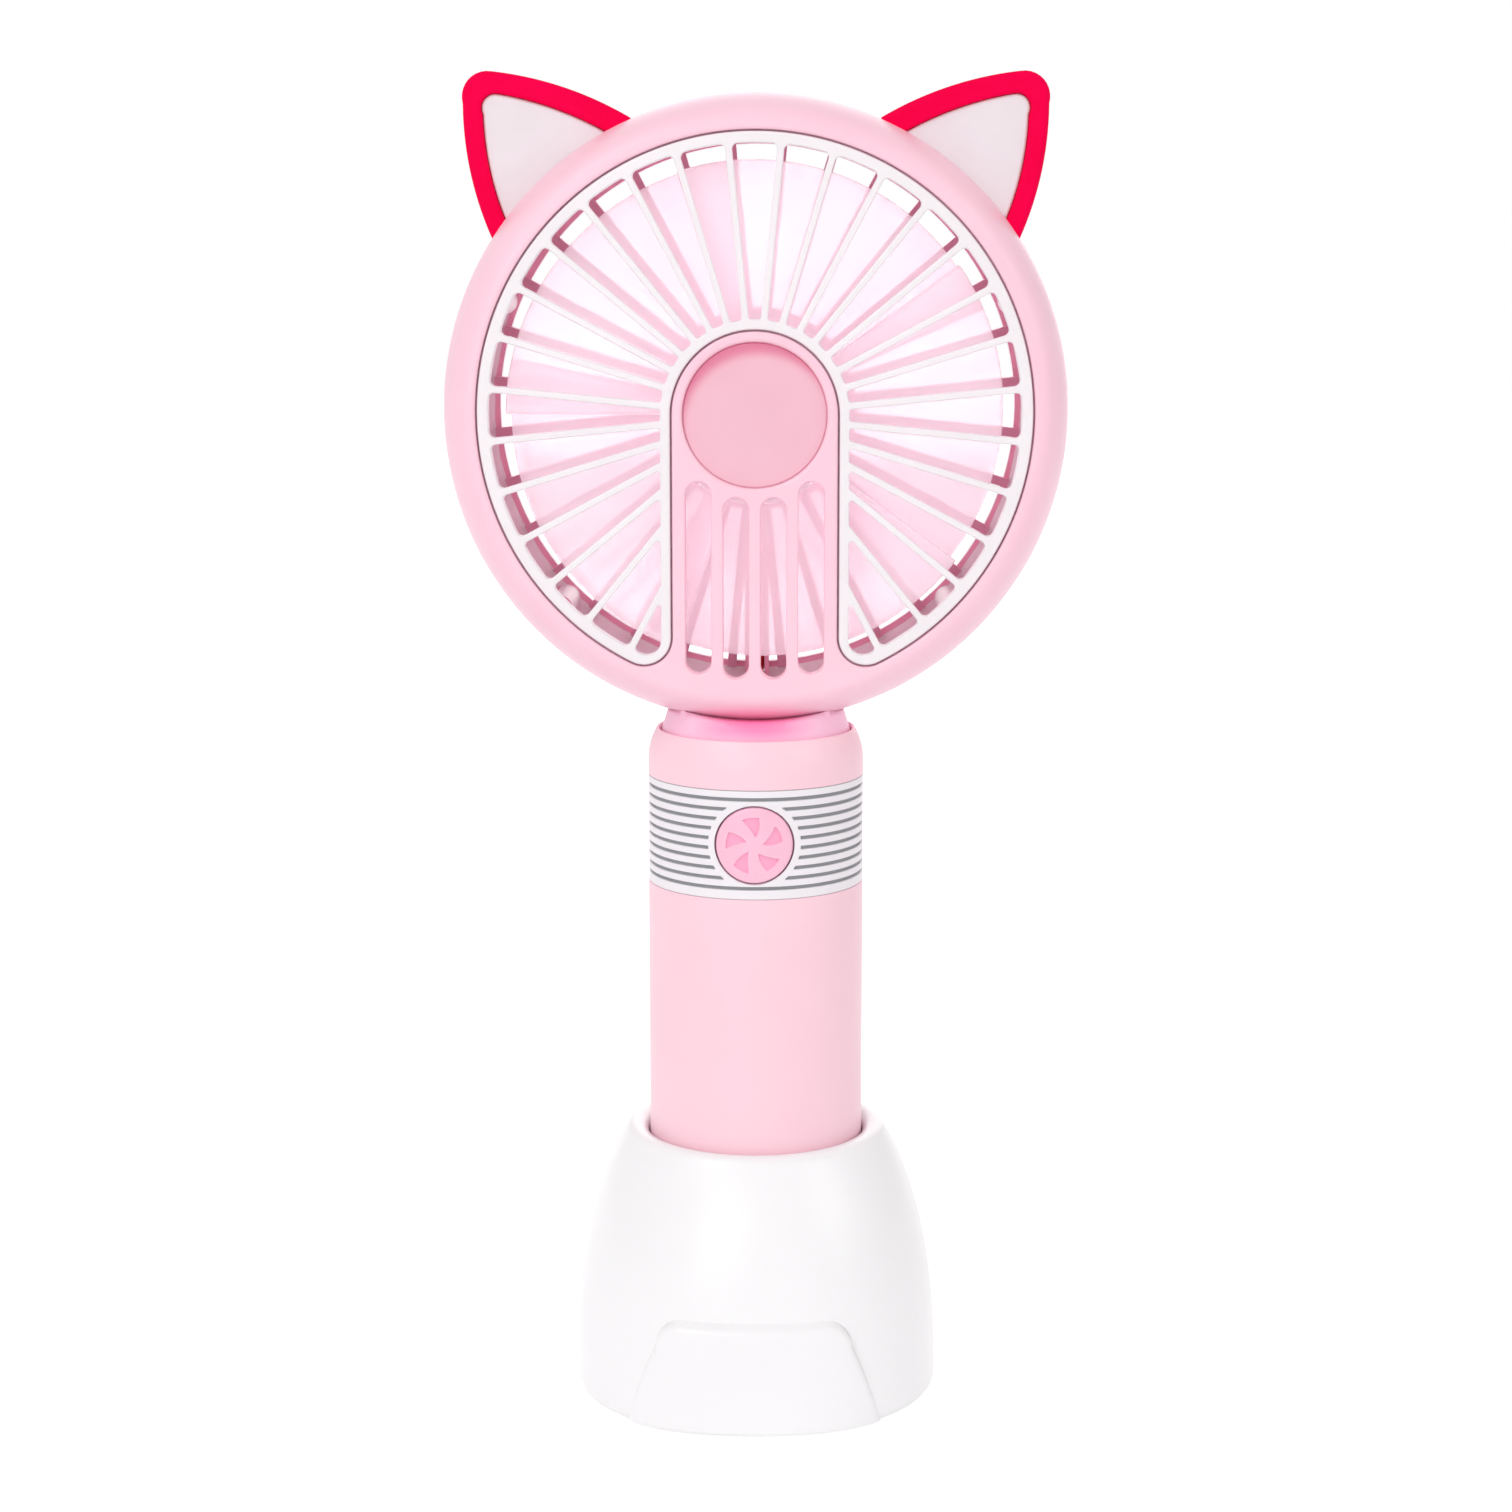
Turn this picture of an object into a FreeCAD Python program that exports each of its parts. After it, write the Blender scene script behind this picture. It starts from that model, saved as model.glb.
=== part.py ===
import FreeCAD, Part
import math
import os

# A handheld fan with cat ears, standing in its desk base. Millimetres.
# +Z is up, the fan faces -Y and blows that way. The origin is on the floor, under the handle's axis.
# The head is turned about an axis along Y, at HEAD_Z.

V = FreeCAD.Vector

# ---- gaps and fits ----
SLIP = 0.1  # round a piece that drops into another
SEAM = 0.3  # seen between two mouldings of the head
RUN = 0.04  # radial, motor shaft in its bushes
SOCKET_GAP = 0.3  # radial, handle in the base
SEAT_GAP = 0.05  # handle's end above the socket's floor
BUTTON_GAP = 0.3  # radial, button in the band
BUTTON_TRAVEL = 0.5
SCREW_BITE = 0.05  # radial, thread drawn as a plain shank in its pilot hole

# ---- base ----
BASE_HEIGHT = 43.3
BELL_SPREAD = 12.32  # half width at the floor beyond the socket's radius
BELL_POWER = 2.3  # fullness of the bell's side
BELL_SQUARENESS = 2.4  # plan exponent at the floor; the rim is round
BASE_WALL = 2.2
BASE_ROOF = 3.0
RIM_WIDTH = 3.0
RIM_ROUND = 1.2
RIM_LIFT = 0.6  # lower edge above the floor
LEDGE_TOP = 18.3
LEDGE_FLAT = 11.5  # half the width of the flat top
LEDGE_CORNER = 5.0
LEDGE_FOOT = 20.2  # half the width at the floor
LEDGE_PROUD = 0.8
SOCKET_FLOOR = 11.0
SOCKET_FLOOR_THICK = 1.6
SOCKET_WALL = 1.8
PLATE_THICK = 1.8
PLATE_RECESS = 0.2
FOOT_RADIUS = 4.0
FOOT_THICK = 1.4
FOOT_CIRCLE = 20.0
WEIGHT_SPREAD = 0.42  # weight's radius beyond the socket's
WEIGHT_THICK = 6.4
BASE_BOSS_RADIUS = 2.4
BASE_BOSS_HEIGHT = 14.0
GUSSET_THICK = 1.6

# ---- handle ----
HANDLE_RADIUS = 17.68
TUBE_WALL = 2.08
GRIP_LENGTH = 73.95
BAND_HEIGHT = 17.7
BAND_GROOVES = 10
GROOVE_PITCH = 1.6
GROOVE_FIRST = 1.45  # first groove below the band's top
GROOVE_WIDTH = 0.5
GROOVE_DEPTH = 0.45
BAND_SINK = 0.05  # band's radius under the tube's
PAD_RADIUS = 7.4  # smooth field round the button
COLLAR_HEIGHT = 7.6
COLLAR_RIM = 1.4  # how far the collar's rim is inside its foot
NECK_SHOW = 1.2  # head's underside above the collar's rim
NECK_WALL = 1.8
NECK_TAPER = 0.33  # mm of radius per mm of height above the rim
SADDLE_LAP = 1.2  # how far the saddle's lips rise round the head
NECK_ROOF = 2.5
CAP_THICK = 2.0
CAP_ROUND = 0.6
CHASSIS_GAP = 1.4
CHASSIS_WALL = 1.4
CHASSIS_PLATE = 1.5
CELL_RADIUS = 9.2
CELL_LENGTH = 65.0
CONTACT_TRAVEL = 3.0  # room for the negative spring
BOARD_THICK = 1.2
BOARD_GAP = 2.2  # round the board in the tube
STANDOFF = 0.5
USB_WIDTH = 8.94
USB_HEIGHT = 3.2
USB_DEPTH = 7.3
USB_MARGIN = 0.3
LAMP_RADIUS = 1.1
LAMP_OFFSET = 8.2

# ---- power button ----
BUTTON_RADIUS = 6.1
BUTTON_PROUD = 0.15
FLANGE_RADIUS = 7.3
FLANGE_THICK = 1.0
STEM_RADIUS = 2.0
PLUNGER_RADIUS = 1.75
SWITCH_HEIGHT = 6.4
SWITCH_WIDTH = 7.2
SWITCH_DEPTH = 3.5

# ---- head ----
HEAD_RADIUS = 50.0
HEAD_WALL = 1.8
FRONT_DEPTH = 13.2
OPENING_RADIUS = 43.8
PARTING = 2.0
REAR_FLAT = 4.0
REAR_DEPTH = 20.0
REAR_ROUND = 6.0  # width of the rolled edge at the back
REAR_OPENING_RADIUS = 43.0
LIP_DEPTH = 1.6
LIP_THICK = 1.2
BRIDGE_HALF = 13.0
BRIDGE_CORNER = 4.6
HUB_DISC_RADIUS = 11.4
HUB_RECESS = 1.2
HUB_DISC_THICK = 0.6
SLOT_WIDTH = 4.06
SLOT_PITCH = 5.94
SLOT_CROWN = 12.8  # the inner slots' tops below the head's centre
SLOT_CROWN_OUTER = 10.3
SLOT_FOOT = 41.6
SLOT_FOOT_OUTER = 40.8
SEAT_WIDTH = 1.5
SEAT_THICK = 1.2
GRILLE_RIM = 1.6
GRILLE_THICK = 1.5
GRILLE_DEPTH = 2.4
GRILLE_SINK = 0.2  # the grille's face behind the bridge's
RIB_DIVISIONS = 32
RIB_PAIRS = 14
FRONT_RIB = 1.1
REAR_RIB = 1.5
REAR_RIB_DEPTH = 3.2
COVER_SCREW_INSET = 4.4  # screws' circle inside the head's edge
COVER_BOSS_RADIUS = 2.3
COVER_BOSS_DEPTH = 9.5
COVER_SCREW_SINK = 4.5

# ---- ears ----
EAR_ANGLE = 40.7  # from straight up, to each side
EAR_FRONT = -3.0
EAR_BACK = 5.5
EAR_POCKET = 1.5
PANEL_SINK = 0.6
TAB_WIDTH = 8.0
TAB_INSET = 3.5
TAB_THICK = 1.0

# ---- motor and rotor ----
CUP_WALL = 1.5
CUP_FRONT = 8.0
CUP_BACK_WALL = 1.6
MOUNT_PLATE_THICK = 1.4
MOTOR_RADIUS = 11.6
MOTOR_RING = 3.3  # room round the motor for the mount plate's screws
MOTOR_LENGTH = 8.2
CAN_WALL = 0.6
NOSE_RADIUS = 3.0
SHAFT_RADIUS = 1.0
BUSH_RADIUS = 2.4
BUSH_LENGTH = 2.6
MAGNET_THICK = 2.2
AIR_GAP = 0.4
ARMATURE_LENGTH = 4.6
COMMUTATOR_RADIUS = 2.3
HUB_RADIUS = 14.3
HUB_FRONT = -9.4
HUB_WALL = 1.4
HUB_PLATE_GAP = 1.2
BLADE_RADIUS = 39.5
BLADE_COUNT = 5
BLADE_SPAN = 84.0
BLADE_THICK = 1.2
BLADE_INSET = 1.0
LEAD_RADIUS = 0.5
LEAD_PITCH = 1.24
LEAD_BEND = 2.6
LEAD_Y = 6.0
LEAD_HOLE_RADIUS = 2.2
DUCT_HALF = 2.0
DUCT_GROOVE_HALF = 1.25
DUCT_LID = 1.0

# ---- small screws ----
M2_SHANK = 1.0
M2_HEAD = 1.9
M2_HEAD_HEIGHT = 1.3
SMALL_SHANK = 0.75
SMALL_HEAD = 1.4
SMALL_HEAD_HEIGHT = 0.6

# ---- levels and radii worked out from the sizes above ----
TUBE_BORE = HANDLE_RADIUS - TUBE_WALL
SOCKET_RADIUS = HANDLE_RADIUS + SOCKET_GAP
RIM_RADIUS = SOCKET_RADIUS + RIM_WIDTH
BELL_RADIUS = SOCKET_RADIUS + BELL_SPREAD
WEIGHT_RADIUS = SOCKET_RADIUS + WEIGHT_SPREAD
HANDLE_FOOT = SOCKET_FLOOR + SEAT_GAP
BAND_FOOT = HANDLE_FOOT + GRIP_LENGTH
BAND_TOP = BAND_FOOT + BAND_HEIGHT
COLLAR_TOP = BAND_TOP + COLLAR_HEIGHT
HEAD_Z = COLLAR_TOP + NECK_SHOW + HEAD_RADIUS
NECK_RADIUS = TUBE_BORE - SLIP
NECK_BORE = NECK_RADIUS - NECK_WALL
NECK_FOOT = BAND_TOP - 0.9
BUTTON_Z = BAND_FOOT + BAND_HEIGHT / 2
BOARD_TOP = BUTTON_Z - SWITCH_HEIGHT / 2
BOARD_FOOT = BOARD_TOP - BOARD_THICK
CHASSIS_TOP = BOARD_FOOT - STANDOFF
CHASSIS_RADIUS = TUBE_BORE - CHASSIS_GAP
BOARD_RADIUS = TUBE_BORE - BOARD_GAP
CELL_TOP = CHASSIS_TOP - CHASSIS_PLATE - 0.5
CELL_FOOT = CELL_TOP - CELL_LENGTH
CHASSIS_FOOT = CELL_FOOT - CONTACT_TRAVEL - CHASSIS_PLATE
FLANGE_BACK = -math.sqrt(TUBE_BORE**2 - FLANGE_RADIUS**2) + 0.2 + FLANGE_THICK
STEM_END = FLANGE_BACK + 0.6
PLUNGER_END = STEM_END + 0.1
SWITCH_FRONT = PLUNGER_END + 1.3
POST_X = NECK_BORE - 2.7
POST_Y = 4.0
REAR_EDGE_RADIUS = HEAD_RADIUS - REAR_ROUND
COVER_SCREW_CIRCLE = HEAD_RADIUS - COVER_SCREW_INSET
MOUNT_PLATE_FRONT = CUP_FRONT - MOUNT_PLATE_THICK
CUP_RADIUS = MOTOR_RADIUS + MOTOR_RING + CUP_WALL
MOTOR_BACK = CUP_FRONT + MOTOR_LENGTH
CUP_INNER_BACK = REAR_DEPTH - CUP_BACK_WALL
HUB_BACK = MOUNT_PLATE_FRONT - HUB_PLATE_GAP
REAR_RIB_BACK = REAR_DEPTH - 1.4
REAR_RIB_FRONT = REAR_RIB_BACK - REAR_RIB_DEPTH
DUCT_FLOOR = REAR_RIB_FRONT + 1.5
DUCT_BACK = REAR_DEPTH - 1.1
LEAD_BACK = (MOTOR_BACK + 0.7 + CUP_INNER_BACK) / 2
GRILLE_FACE = -(FRONT_DEPTH - GRILLE_SINK)
SEAT_FACE = -(FRONT_DEPTH - HEAD_WALL)


# ---- shapes used again and again ----
def post(radius, z0, z1, x=0.0, y=0.0):
    """Upright cylinder."""
    return Part.makeCylinder(radius, z1 - z0, V(x, y, z0))


def sleeve(outer, inner, z0, z1):
    """Upright tube on the handle's axis."""
    return post(outer, z0, z1).cut(post(inner, z0 - 1, z1 + 1))


def disc(radius, y0, y1, x=0.0, z=HEAD_Z):
    """Cylinder along Y, on the head's axis unless told otherwise."""
    return Part.makeCylinder(radius, y1 - y0, V(x, y0, z), V(0, 1, 0))


def block(x0, x1, y0, y1, z0, z1):
    return Part.makeBox(x1 - x0, y1 - y0, z1 - z0, V(x0, y0, z0))


def polar(radius, degrees):
    """Point of the head's face plane at an angle from straight up, clockwise from the front."""
    turn = math.radians(degrees)
    return radius * math.sin(turn), HEAD_Z + radius * math.cos(turn)


def around_head(shape, degrees):
    """Copy turned about the head's axis, clockwise from the front."""
    turned = shape.copy()
    turned.rotate(V(0, 0, HEAD_Z), V(0, 1, 0), degrees)
    return turned


def prism(edges, y0, y1):
    """Closed outline in the XZ plane, pushed from y0 to y1."""
    face = Part.Face(Part.Wire(edges))
    face.translate(V(0, y0, 0))
    return face.extrude(V(0, y1 - y0, 0))


def along_y(shape):
    """The straight edges of a shape that run along Y."""
    return [e for e in shape.Edges if abs(e.tangentAt(e.FirstParameter).y) > 0.99]


def arc(a, b, c):
    return Part.Arc(a, b, c).toShape()


def line(a, b):
    return Part.LineSegment(a, b).toShape()


def turned_z(points):
    """Solid turned about Z from (radius, z) corners."""
    corners = [V(r, 0, z) for r, z in points]
    face = Part.Face(Part.makePolygon(corners + corners[:1]))
    return face.revolve(V(0, 0, 0), V(0, 0, 1), 360)


def roll(radius, edge_radius, y_flat, y_edge):
    """Filled dome turned about the head's axis; its side is a quarter ellipse."""
    steps = 12
    curve = []
    for i in range(steps + 1):
        t = math.pi / 2 * i / steps
        r = edge_radius + (radius - edge_radius) * math.cos(t)
        curve.append(V(r, y_flat + (y_edge - y_flat) * math.sin(t), 0))
    side = Part.BSplineCurve()
    side.interpolate(curve)
    edges = [
        side.toShape(),
        line(curve[-1], V(0, y_edge, 0)),
        line(V(0, y_edge, 0), V(0, y_flat, 0)),
        line(V(0, y_flat, 0), curve[0]),
    ]
    solid = Part.Face(Part.Wire(edges)).revolve(V(0, 0, 0), V(0, 1, 0), 360)
    solid.translate(V(0, 0, HEAD_Z))
    return solid


def screw(length, at, direction, shank=M2_SHANK, head=M2_HEAD):
    """Pan head screw; at is where the head meets the work, direction is the way it goes in."""
    tip = shank
    way = V(*direction)
    body = Part.makeCylinder(shank, length - tip, V(*at), way)
    start = V(*at) + way * (length - tip)
    point = Part.makeCone(shank, 0.25 * shank, tip, start, way)
    crown = Part.makeCylinder(head, M2_HEAD_HEIGHT, V(*at) - way * M2_HEAD_HEIGHT, way)
    slot = Part.makeBox(2 * head, 0.5, 0.6, V(-head, -0.25, -0.6))
    turn = FreeCAD.Rotation(V(0, 0, 1), way)
    slot.Placement = FreeCAD.Placement(V(*at) - way * (M2_HEAD_HEIGHT - 0.6), turn)
    return body.fuse([crown, point]).removeSplitter().cut(slot)


def pipe(points, radius, bend):
    """Round wire along straight runs joined by arcs of one radius."""
    edges = []
    start = V(*points[0])
    for before, corner, after in zip(points, points[1:], points[2:]):
        corner = V(*corner)
        back = (V(*before) - corner).normalize()
        ahead = (V(*after) - corner).normalize()
        half = back.getAngle(ahead) / 2
        reach = bend / math.tan(half)
        middle = (back + ahead).normalize() * (bend / math.sin(half) - bend)
        edges.append(line(start, corner + back * reach))
        edges.append(arc(corner + back * reach, corner + middle, corner + ahead * reach))
        start = corner + ahead * reach
    edges.append(line(start, V(*points[-1])))
    way = (V(*points[1]) - V(*points[0])).normalize()
    ring = Part.Wire([Part.Circle(V(*points[0]), way, radius).toShape()])
    return Part.Wire(edges).makePipeShell([ring], True, False)


# ---- base ----
def bell_radius(z):
    """The bell's half width at a height: full at the floor, the rim's radius at the top."""
    close = (1 - (RIM_RADIUS / BELL_RADIUS) ** BELL_POWER) ** (1 / BELL_POWER)
    apex = BASE_HEIGHT / close
    return BELL_RADIUS * (1 - (z / apex) ** BELL_POWER) ** (1 / BELL_POWER)


def plan_wire(half_x, half_y, exponent, z):
    """Closed rounded-square outline, level at z."""
    points = []
    count = 32
    for i in range(count):
        t = 2 * math.pi * i / count
        c, s = math.cos(t), math.sin(t)
        x = math.copysign(half_x * abs(c) ** (2 / exponent), c)
        y = math.copysign(half_y * abs(s) ** (2 / exponent), s)
        points.append(V(x, y, z))
    curve = Part.BSplineCurve()
    curve.interpolate(Points=points, PeriodicFlag=True)
    return Part.Wire([curve.toShape()])


def bell(inset, z0, z1):
    """The bell's solid between two levels, its side moved in by inset."""
    wires = []
    for share in (0, 0.12, 0.28, 0.45, 0.62, 0.78, 0.9, 1):
        z = z0 + (z1 - z0) * share
        height = max(z, 0)
        square = 2 + (BELL_SQUARENESS - 2) * (1 - height / BASE_HEIGHT)
        half = bell_radius(height) - inset
        wires.append(plan_wire(half, half, square, z))
    return Part.makeLoft(wires, True, False)


def round_rim(solid, radius):
    """Rounds the edges of a solid that lie in its top face."""
    top = solid.BoundBox.ZMax
    edges = [e for e in solid.Edges if e.BoundBox.ZMin > top - 1e-3]
    return solid.makeFillet(radius, edges)


def ledge():
    """Arched tongue on the front: a phone rests on its top edge."""
    foot, top, flat = LEDGE_FOOT, LEDGE_TOP, LEDGE_FLAT
    shoulder = (flat + 0.8 * LEDGE_CORNER, top - 0.86 * LEDGE_CORNER)
    crown = (flat + 0.52 * LEDGE_CORNER, top - 0.23 * LEDGE_CORNER)
    flank = ((foot + shoulder[0]) / 2 + 0.5, shoulder[1] / 2)
    right = [V(foot, 0, RIM_LIFT), V(flank[0], 0, flank[1]), V(shoulder[0], 0, shoulder[1])]
    corner = [right[2], V(crown[0], 0, crown[1]), V(flat, 0, top)]
    left = [V(-p.x, 0, p.z) for p in reversed(right)]
    left_corner = [V(-p.x, 0, p.z) for p in reversed(corner)]
    edges = [
        arc(*right),
        arc(*corner),
        line(corner[2], left_corner[0]),
        arc(*left_corner),
        arc(*left),
        line(left[2], right[0]),
    ]
    arch = prism(edges, -2 * BELL_RADIUS, -BELL_RADIUS / 2)
    wire = plan_wire(BELL_RADIUS, BELL_RADIUS + LEDGE_PROUD, BELL_SQUARENESS, RIM_LIFT)
    upright = Part.Face(wire).extrude(V(0, 0, LEDGE_TOP))
    return upright.common(arch)


def four_places(radius, first):
    """Four points round the handle's axis, the first at an angle in degrees."""
    turns = [math.radians(first + 90 * i) for i in range(4)]
    return [(radius * math.cos(a), radius * math.sin(a)) for a in turns]


def base_boss_places():
    return four_places(SOCKET_RADIUS + SOCKET_WALL + BASE_BOSS_RADIUS + 1.2, 0)


def foot_places():
    return four_places(FOOT_CIRCLE, 45)


def base_shell():
    outside = round_rim(bell(0, RIM_LIFT, BASE_HEIGHT), RIM_ROUND).fuse(ledge())
    inside = bell(BASE_WALL, RIM_LIFT - 1, BASE_HEIGHT - BASE_ROOF)
    column_foot = SOCKET_FLOOR - SOCKET_FLOOR_THICK
    column = post(SOCKET_RADIUS + SOCKET_WALL, column_foot, BASE_HEIGHT - BASE_ROOF / 2)
    plate_top = RIM_LIFT + PLATE_RECESS + PLATE_THICK
    boss_top = plate_top + BASE_BOSS_HEIGHT
    half = GUSSET_THICK / 2
    extras = [column]
    for x, y in base_boss_places():
        extras.append(post(BASE_BOSS_RADIUS, plate_top, boss_top, x, y))
        gusset = block(SOCKET_RADIUS + SOCKET_WALL / 2, math.hypot(x, y), -half, half, column_foot, boss_top)
        gusset.rotate(V(0, 0, 0), V(0, 0, 1), math.degrees(math.atan2(y, x)))
        extras.append(gusset)
    shell = outside.cut(inside).fuse(extras)
    shell = shell.cut(post(SOCKET_RADIUS, SOCKET_FLOOR, BASE_HEIGHT + 5))
    for x, y in base_boss_places():
        shell = shell.cut(post(M2_SHANK + SCREW_BITE, plate_top - 1, boss_top - 2, x, y))
    return shell


def base_bottom_plate():
    z0 = RIM_LIFT + PLATE_RECESS
    half = BELL_RADIUS - BASE_WALL - SLIP - 0.1
    plate = Part.Face(plan_wire(half, half, BELL_SQUARENESS, z0)).extrude(V(0, 0, PLATE_THICK))
    for x, y in base_boss_places():
        plate = plate.cut(post(M2_SHANK + SLIP, z0 - 1, z0 + 3, x, y))
        plate = plate.cut(post(M2_HEAD + SLIP, z0 - 1, z0 + 0.9, x, y))
    for x, y in foot_places():
        plate = plate.cut(post(FOOT_RADIUS + SLIP, z0 - 1, FOOT_THICK, x, y))
    return plate


def base_weight():
    z0 = RIM_LIFT + PLATE_RECESS + PLATE_THICK
    return post(WEIGHT_RADIUS, z0, z0 + WEIGHT_THICK)


def base_feet():
    return Part.Compound([post(FOOT_RADIUS, 0, FOOT_THICK, x, y) for x, y in foot_places()])


def base_screws():
    seat = RIM_LIFT + PLATE_RECESS + 0.9
    screws = [screw(7.0, (x, y, seat), (0, 0, 1), head=M2_HEAD - 0.1) for x, y in base_boss_places()]
    return Part.Compound(screws)


# ---- handle ----
def bottom_cap():
    cap = post(HANDLE_RADIUS, HANDLE_FOOT, HANDLE_FOOT + CAP_THICK)
    cap = cap.makeFillet(CAP_ROUND, [e for e in cap.Edges if e.BoundBox.ZMax < HANDLE_FOOT + 1e-3])
    cap = cap.fuse(sleeve(TUBE_BORE - SLIP, CHASSIS_RADIUS - 2.0, HANDLE_FOOT + CAP_THICK, CHASSIS_FOOT))
    cap = cap.cut(post(M2_SHANK + SLIP, HANDLE_FOOT - 1, HANDLE_FOOT + CAP_THICK + 1))
    return cap.cut(post(M2_HEAD + SLIP, HANDLE_FOOT - 1, HANDLE_FOOT + M2_HEAD_HEIGHT))


def cap_screw():
    length = CHASSIS_FOOT + CHASSIS_PLATE - HANDLE_FOOT - M2_HEAD_HEIGHT - 0.5
    return screw(length, (0, 0, HANDLE_FOOT + M2_HEAD_HEIGHT), (0, 0, 1))


def grip_tube():
    return sleeve(HANDLE_RADIUS, TUBE_BORE, HANDLE_FOOT + CAP_THICK, BAND_FOOT)


def grip_band():
    """Ribbed ring: its outermost grooves go all round, the others stop at the smooth field."""
    band = sleeve(HANDLE_RADIUS - BAND_SINK, TUBE_BORE, BAND_FOOT, BAND_TOP)
    spigot = sleeve(TUBE_BORE - SLIP, TUBE_BORE - SLIP - 1.0, BAND_FOOT - 3.0, BAND_FOOT + 0.6)
    band = band.fuse([spigot, sleeve(TUBE_BORE + 0.5, TUBE_BORE - SLIP - 1.0, BAND_FOOT, BAND_FOOT + 0.6)])
    field = disc(PAD_RADIUS, -HANDLE_RADIUS - 5, 0, z=BUTTON_Z)
    bottom = HANDLE_RADIUS - BAND_SINK - GROOVE_DEPTH
    for i in range(BAND_GROOVES):
        z = BAND_TOP - GROOVE_FIRST - i * GROOVE_PITCH
        groove = sleeve(HANDLE_RADIUS + 1, bottom, z - GROOVE_WIDTH / 2, z + GROOVE_WIDTH / 2)
        if 0 < i < BAND_GROOVES - 1:
            groove = groove.cut(field)
        band = band.cut(groove)
    band = band.cut(disc(BUTTON_RADIUS + BUTTON_GAP, -HANDLE_RADIUS - 5, 0, z=BUTTON_Z))
    half = USB_WIDTH / 2 + USB_MARGIN
    sill = BOARD_TOP - USB_MARGIN
    band = band.cut(block(-half, half, 0, HANDLE_RADIUS + 5, sill, sill + USB_HEIGHT + 2 * USB_MARGIN))
    lamp_z = BOARD_TOP + LAMP_RADIUS
    return band.cut(disc(LAMP_RADIUS + SLIP, 0, HANDLE_RADIUS + 5, x=LAMP_OFFSET, z=lamp_z))


def collar():
    rim = HANDLE_RADIUS - COLLAR_RIM
    foot = V(HANDLE_RADIUS, 0, BAND_TOP)
    shoulder = V(HANDLE_RADIUS - 0.04, 0, BAND_TOP + 0.25 * COLLAR_HEIGHT)
    swell = V(HANDLE_RADIUS - 0.3 * COLLAR_RIM, 0, BAND_TOP + 0.68 * COLLAR_HEIGHT)
    crest = V(rim, 0, COLLAR_TOP - 0.15)
    edges = [
        line(foot, shoulder),
        arc(shoulder, swell, crest),
        arc(crest, V(rim - 0.25, 0, COLLAR_TOP), V(rim - 0.5, 0, COLLAR_TOP - 0.15)),
        line(V(rim - 0.5, 0, COLLAR_TOP - 0.15), V(TUBE_BORE, 0, COLLAR_TOP - 0.5)),
        line(V(TUBE_BORE, 0, COLLAR_TOP - 0.5), V(TUBE_BORE, 0, BAND_TOP)),
        line(V(TUBE_BORE, 0, BAND_TOP), foot),
    ]
    return Part.Face(Part.Wire(edges)).revolve(V(0, 0, 0), V(0, 0, 1), 360)


def head_solid(grow=0.0):
    """The head's whole outside, filled, a little larger when something is cut to it."""
    front = roll(HEAD_RADIUS + grow, OPENING_RADIUS + grow, 0, -FRONT_DEPTH - grow)
    rear = roll(HEAD_RADIUS + grow, REAR_EDGE_RADIUS + grow, REAR_FLAT, REAR_DEPTH + grow)
    return front.fuse([disc(HEAD_RADIUS + grow, 0, REAR_FLAT), rear])


def neck_screw_places():
    return [(-7.0, LEAD_Y), (7.0, LEAD_Y)]


def neck():
    """Saddle between the collar and the head, with a spigot down into the band."""
    reach = 8.0
    roof = COLLAR_TOP + NECK_SHOW - NECK_ROOF
    outside = turned_z(
        [
            (0, NECK_FOOT),
            (NECK_RADIUS, NECK_FOOT),
            (NECK_RADIUS, COLLAR_TOP - 0.6),
            (NECK_RADIUS - NECK_TAPER * reach, COLLAR_TOP + reach),
            (0, COLLAR_TOP + reach),
        ]
    )
    body = outside.cut(post(NECK_BORE, NECK_FOOT - 1, roof))
    lugs = [post(3.2, NECK_FOOT, NECK_FOOT + 2.0, x, POST_Y) for x in (-POST_X, POST_X)]
    body = body.fuse([lug.common(post(NECK_RADIUS, NECK_FOOT, COLLAR_TOP)) for lug in lugs])
    body = body.cut(head_solid(SLIP)).cut(disc(HEAD_RADIUS - SADDLE_LAP, -reach * 3, reach * 3))
    body = body.cut(post(LEAD_HOLE_RADIUS, roof - 1, COLLAR_TOP + reach + 1, 0, LEAD_Y))
    for x in (-POST_X, POST_X):
        body = body.cut(post(M2_SHANK + SLIP, NECK_FOOT - 1, NECK_FOOT + 3, x, POST_Y))
    for x, y in neck_screw_places():
        body = body.cut(post(M2_SHANK + SLIP, roof - 1, COLLAR_TOP + reach + 1, x, y))
    return body


def neck_screws():
    roof = COLLAR_TOP + NECK_SHOW - NECK_ROOF
    return Part.Compound([screw(7.4, (x, y, roof), (0, 0, 1)) for x, y in neck_screw_places()])


def board_screw_places():
    return [(-8.0, -5.0), (8.0, -5.0)]


def flat_front():
    """Space in front of the board and the chassis, kept free for the button."""
    return block(-30, 30, -30, SWITCH_FRONT - 0.6, 0, HEAD_Z)


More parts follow.
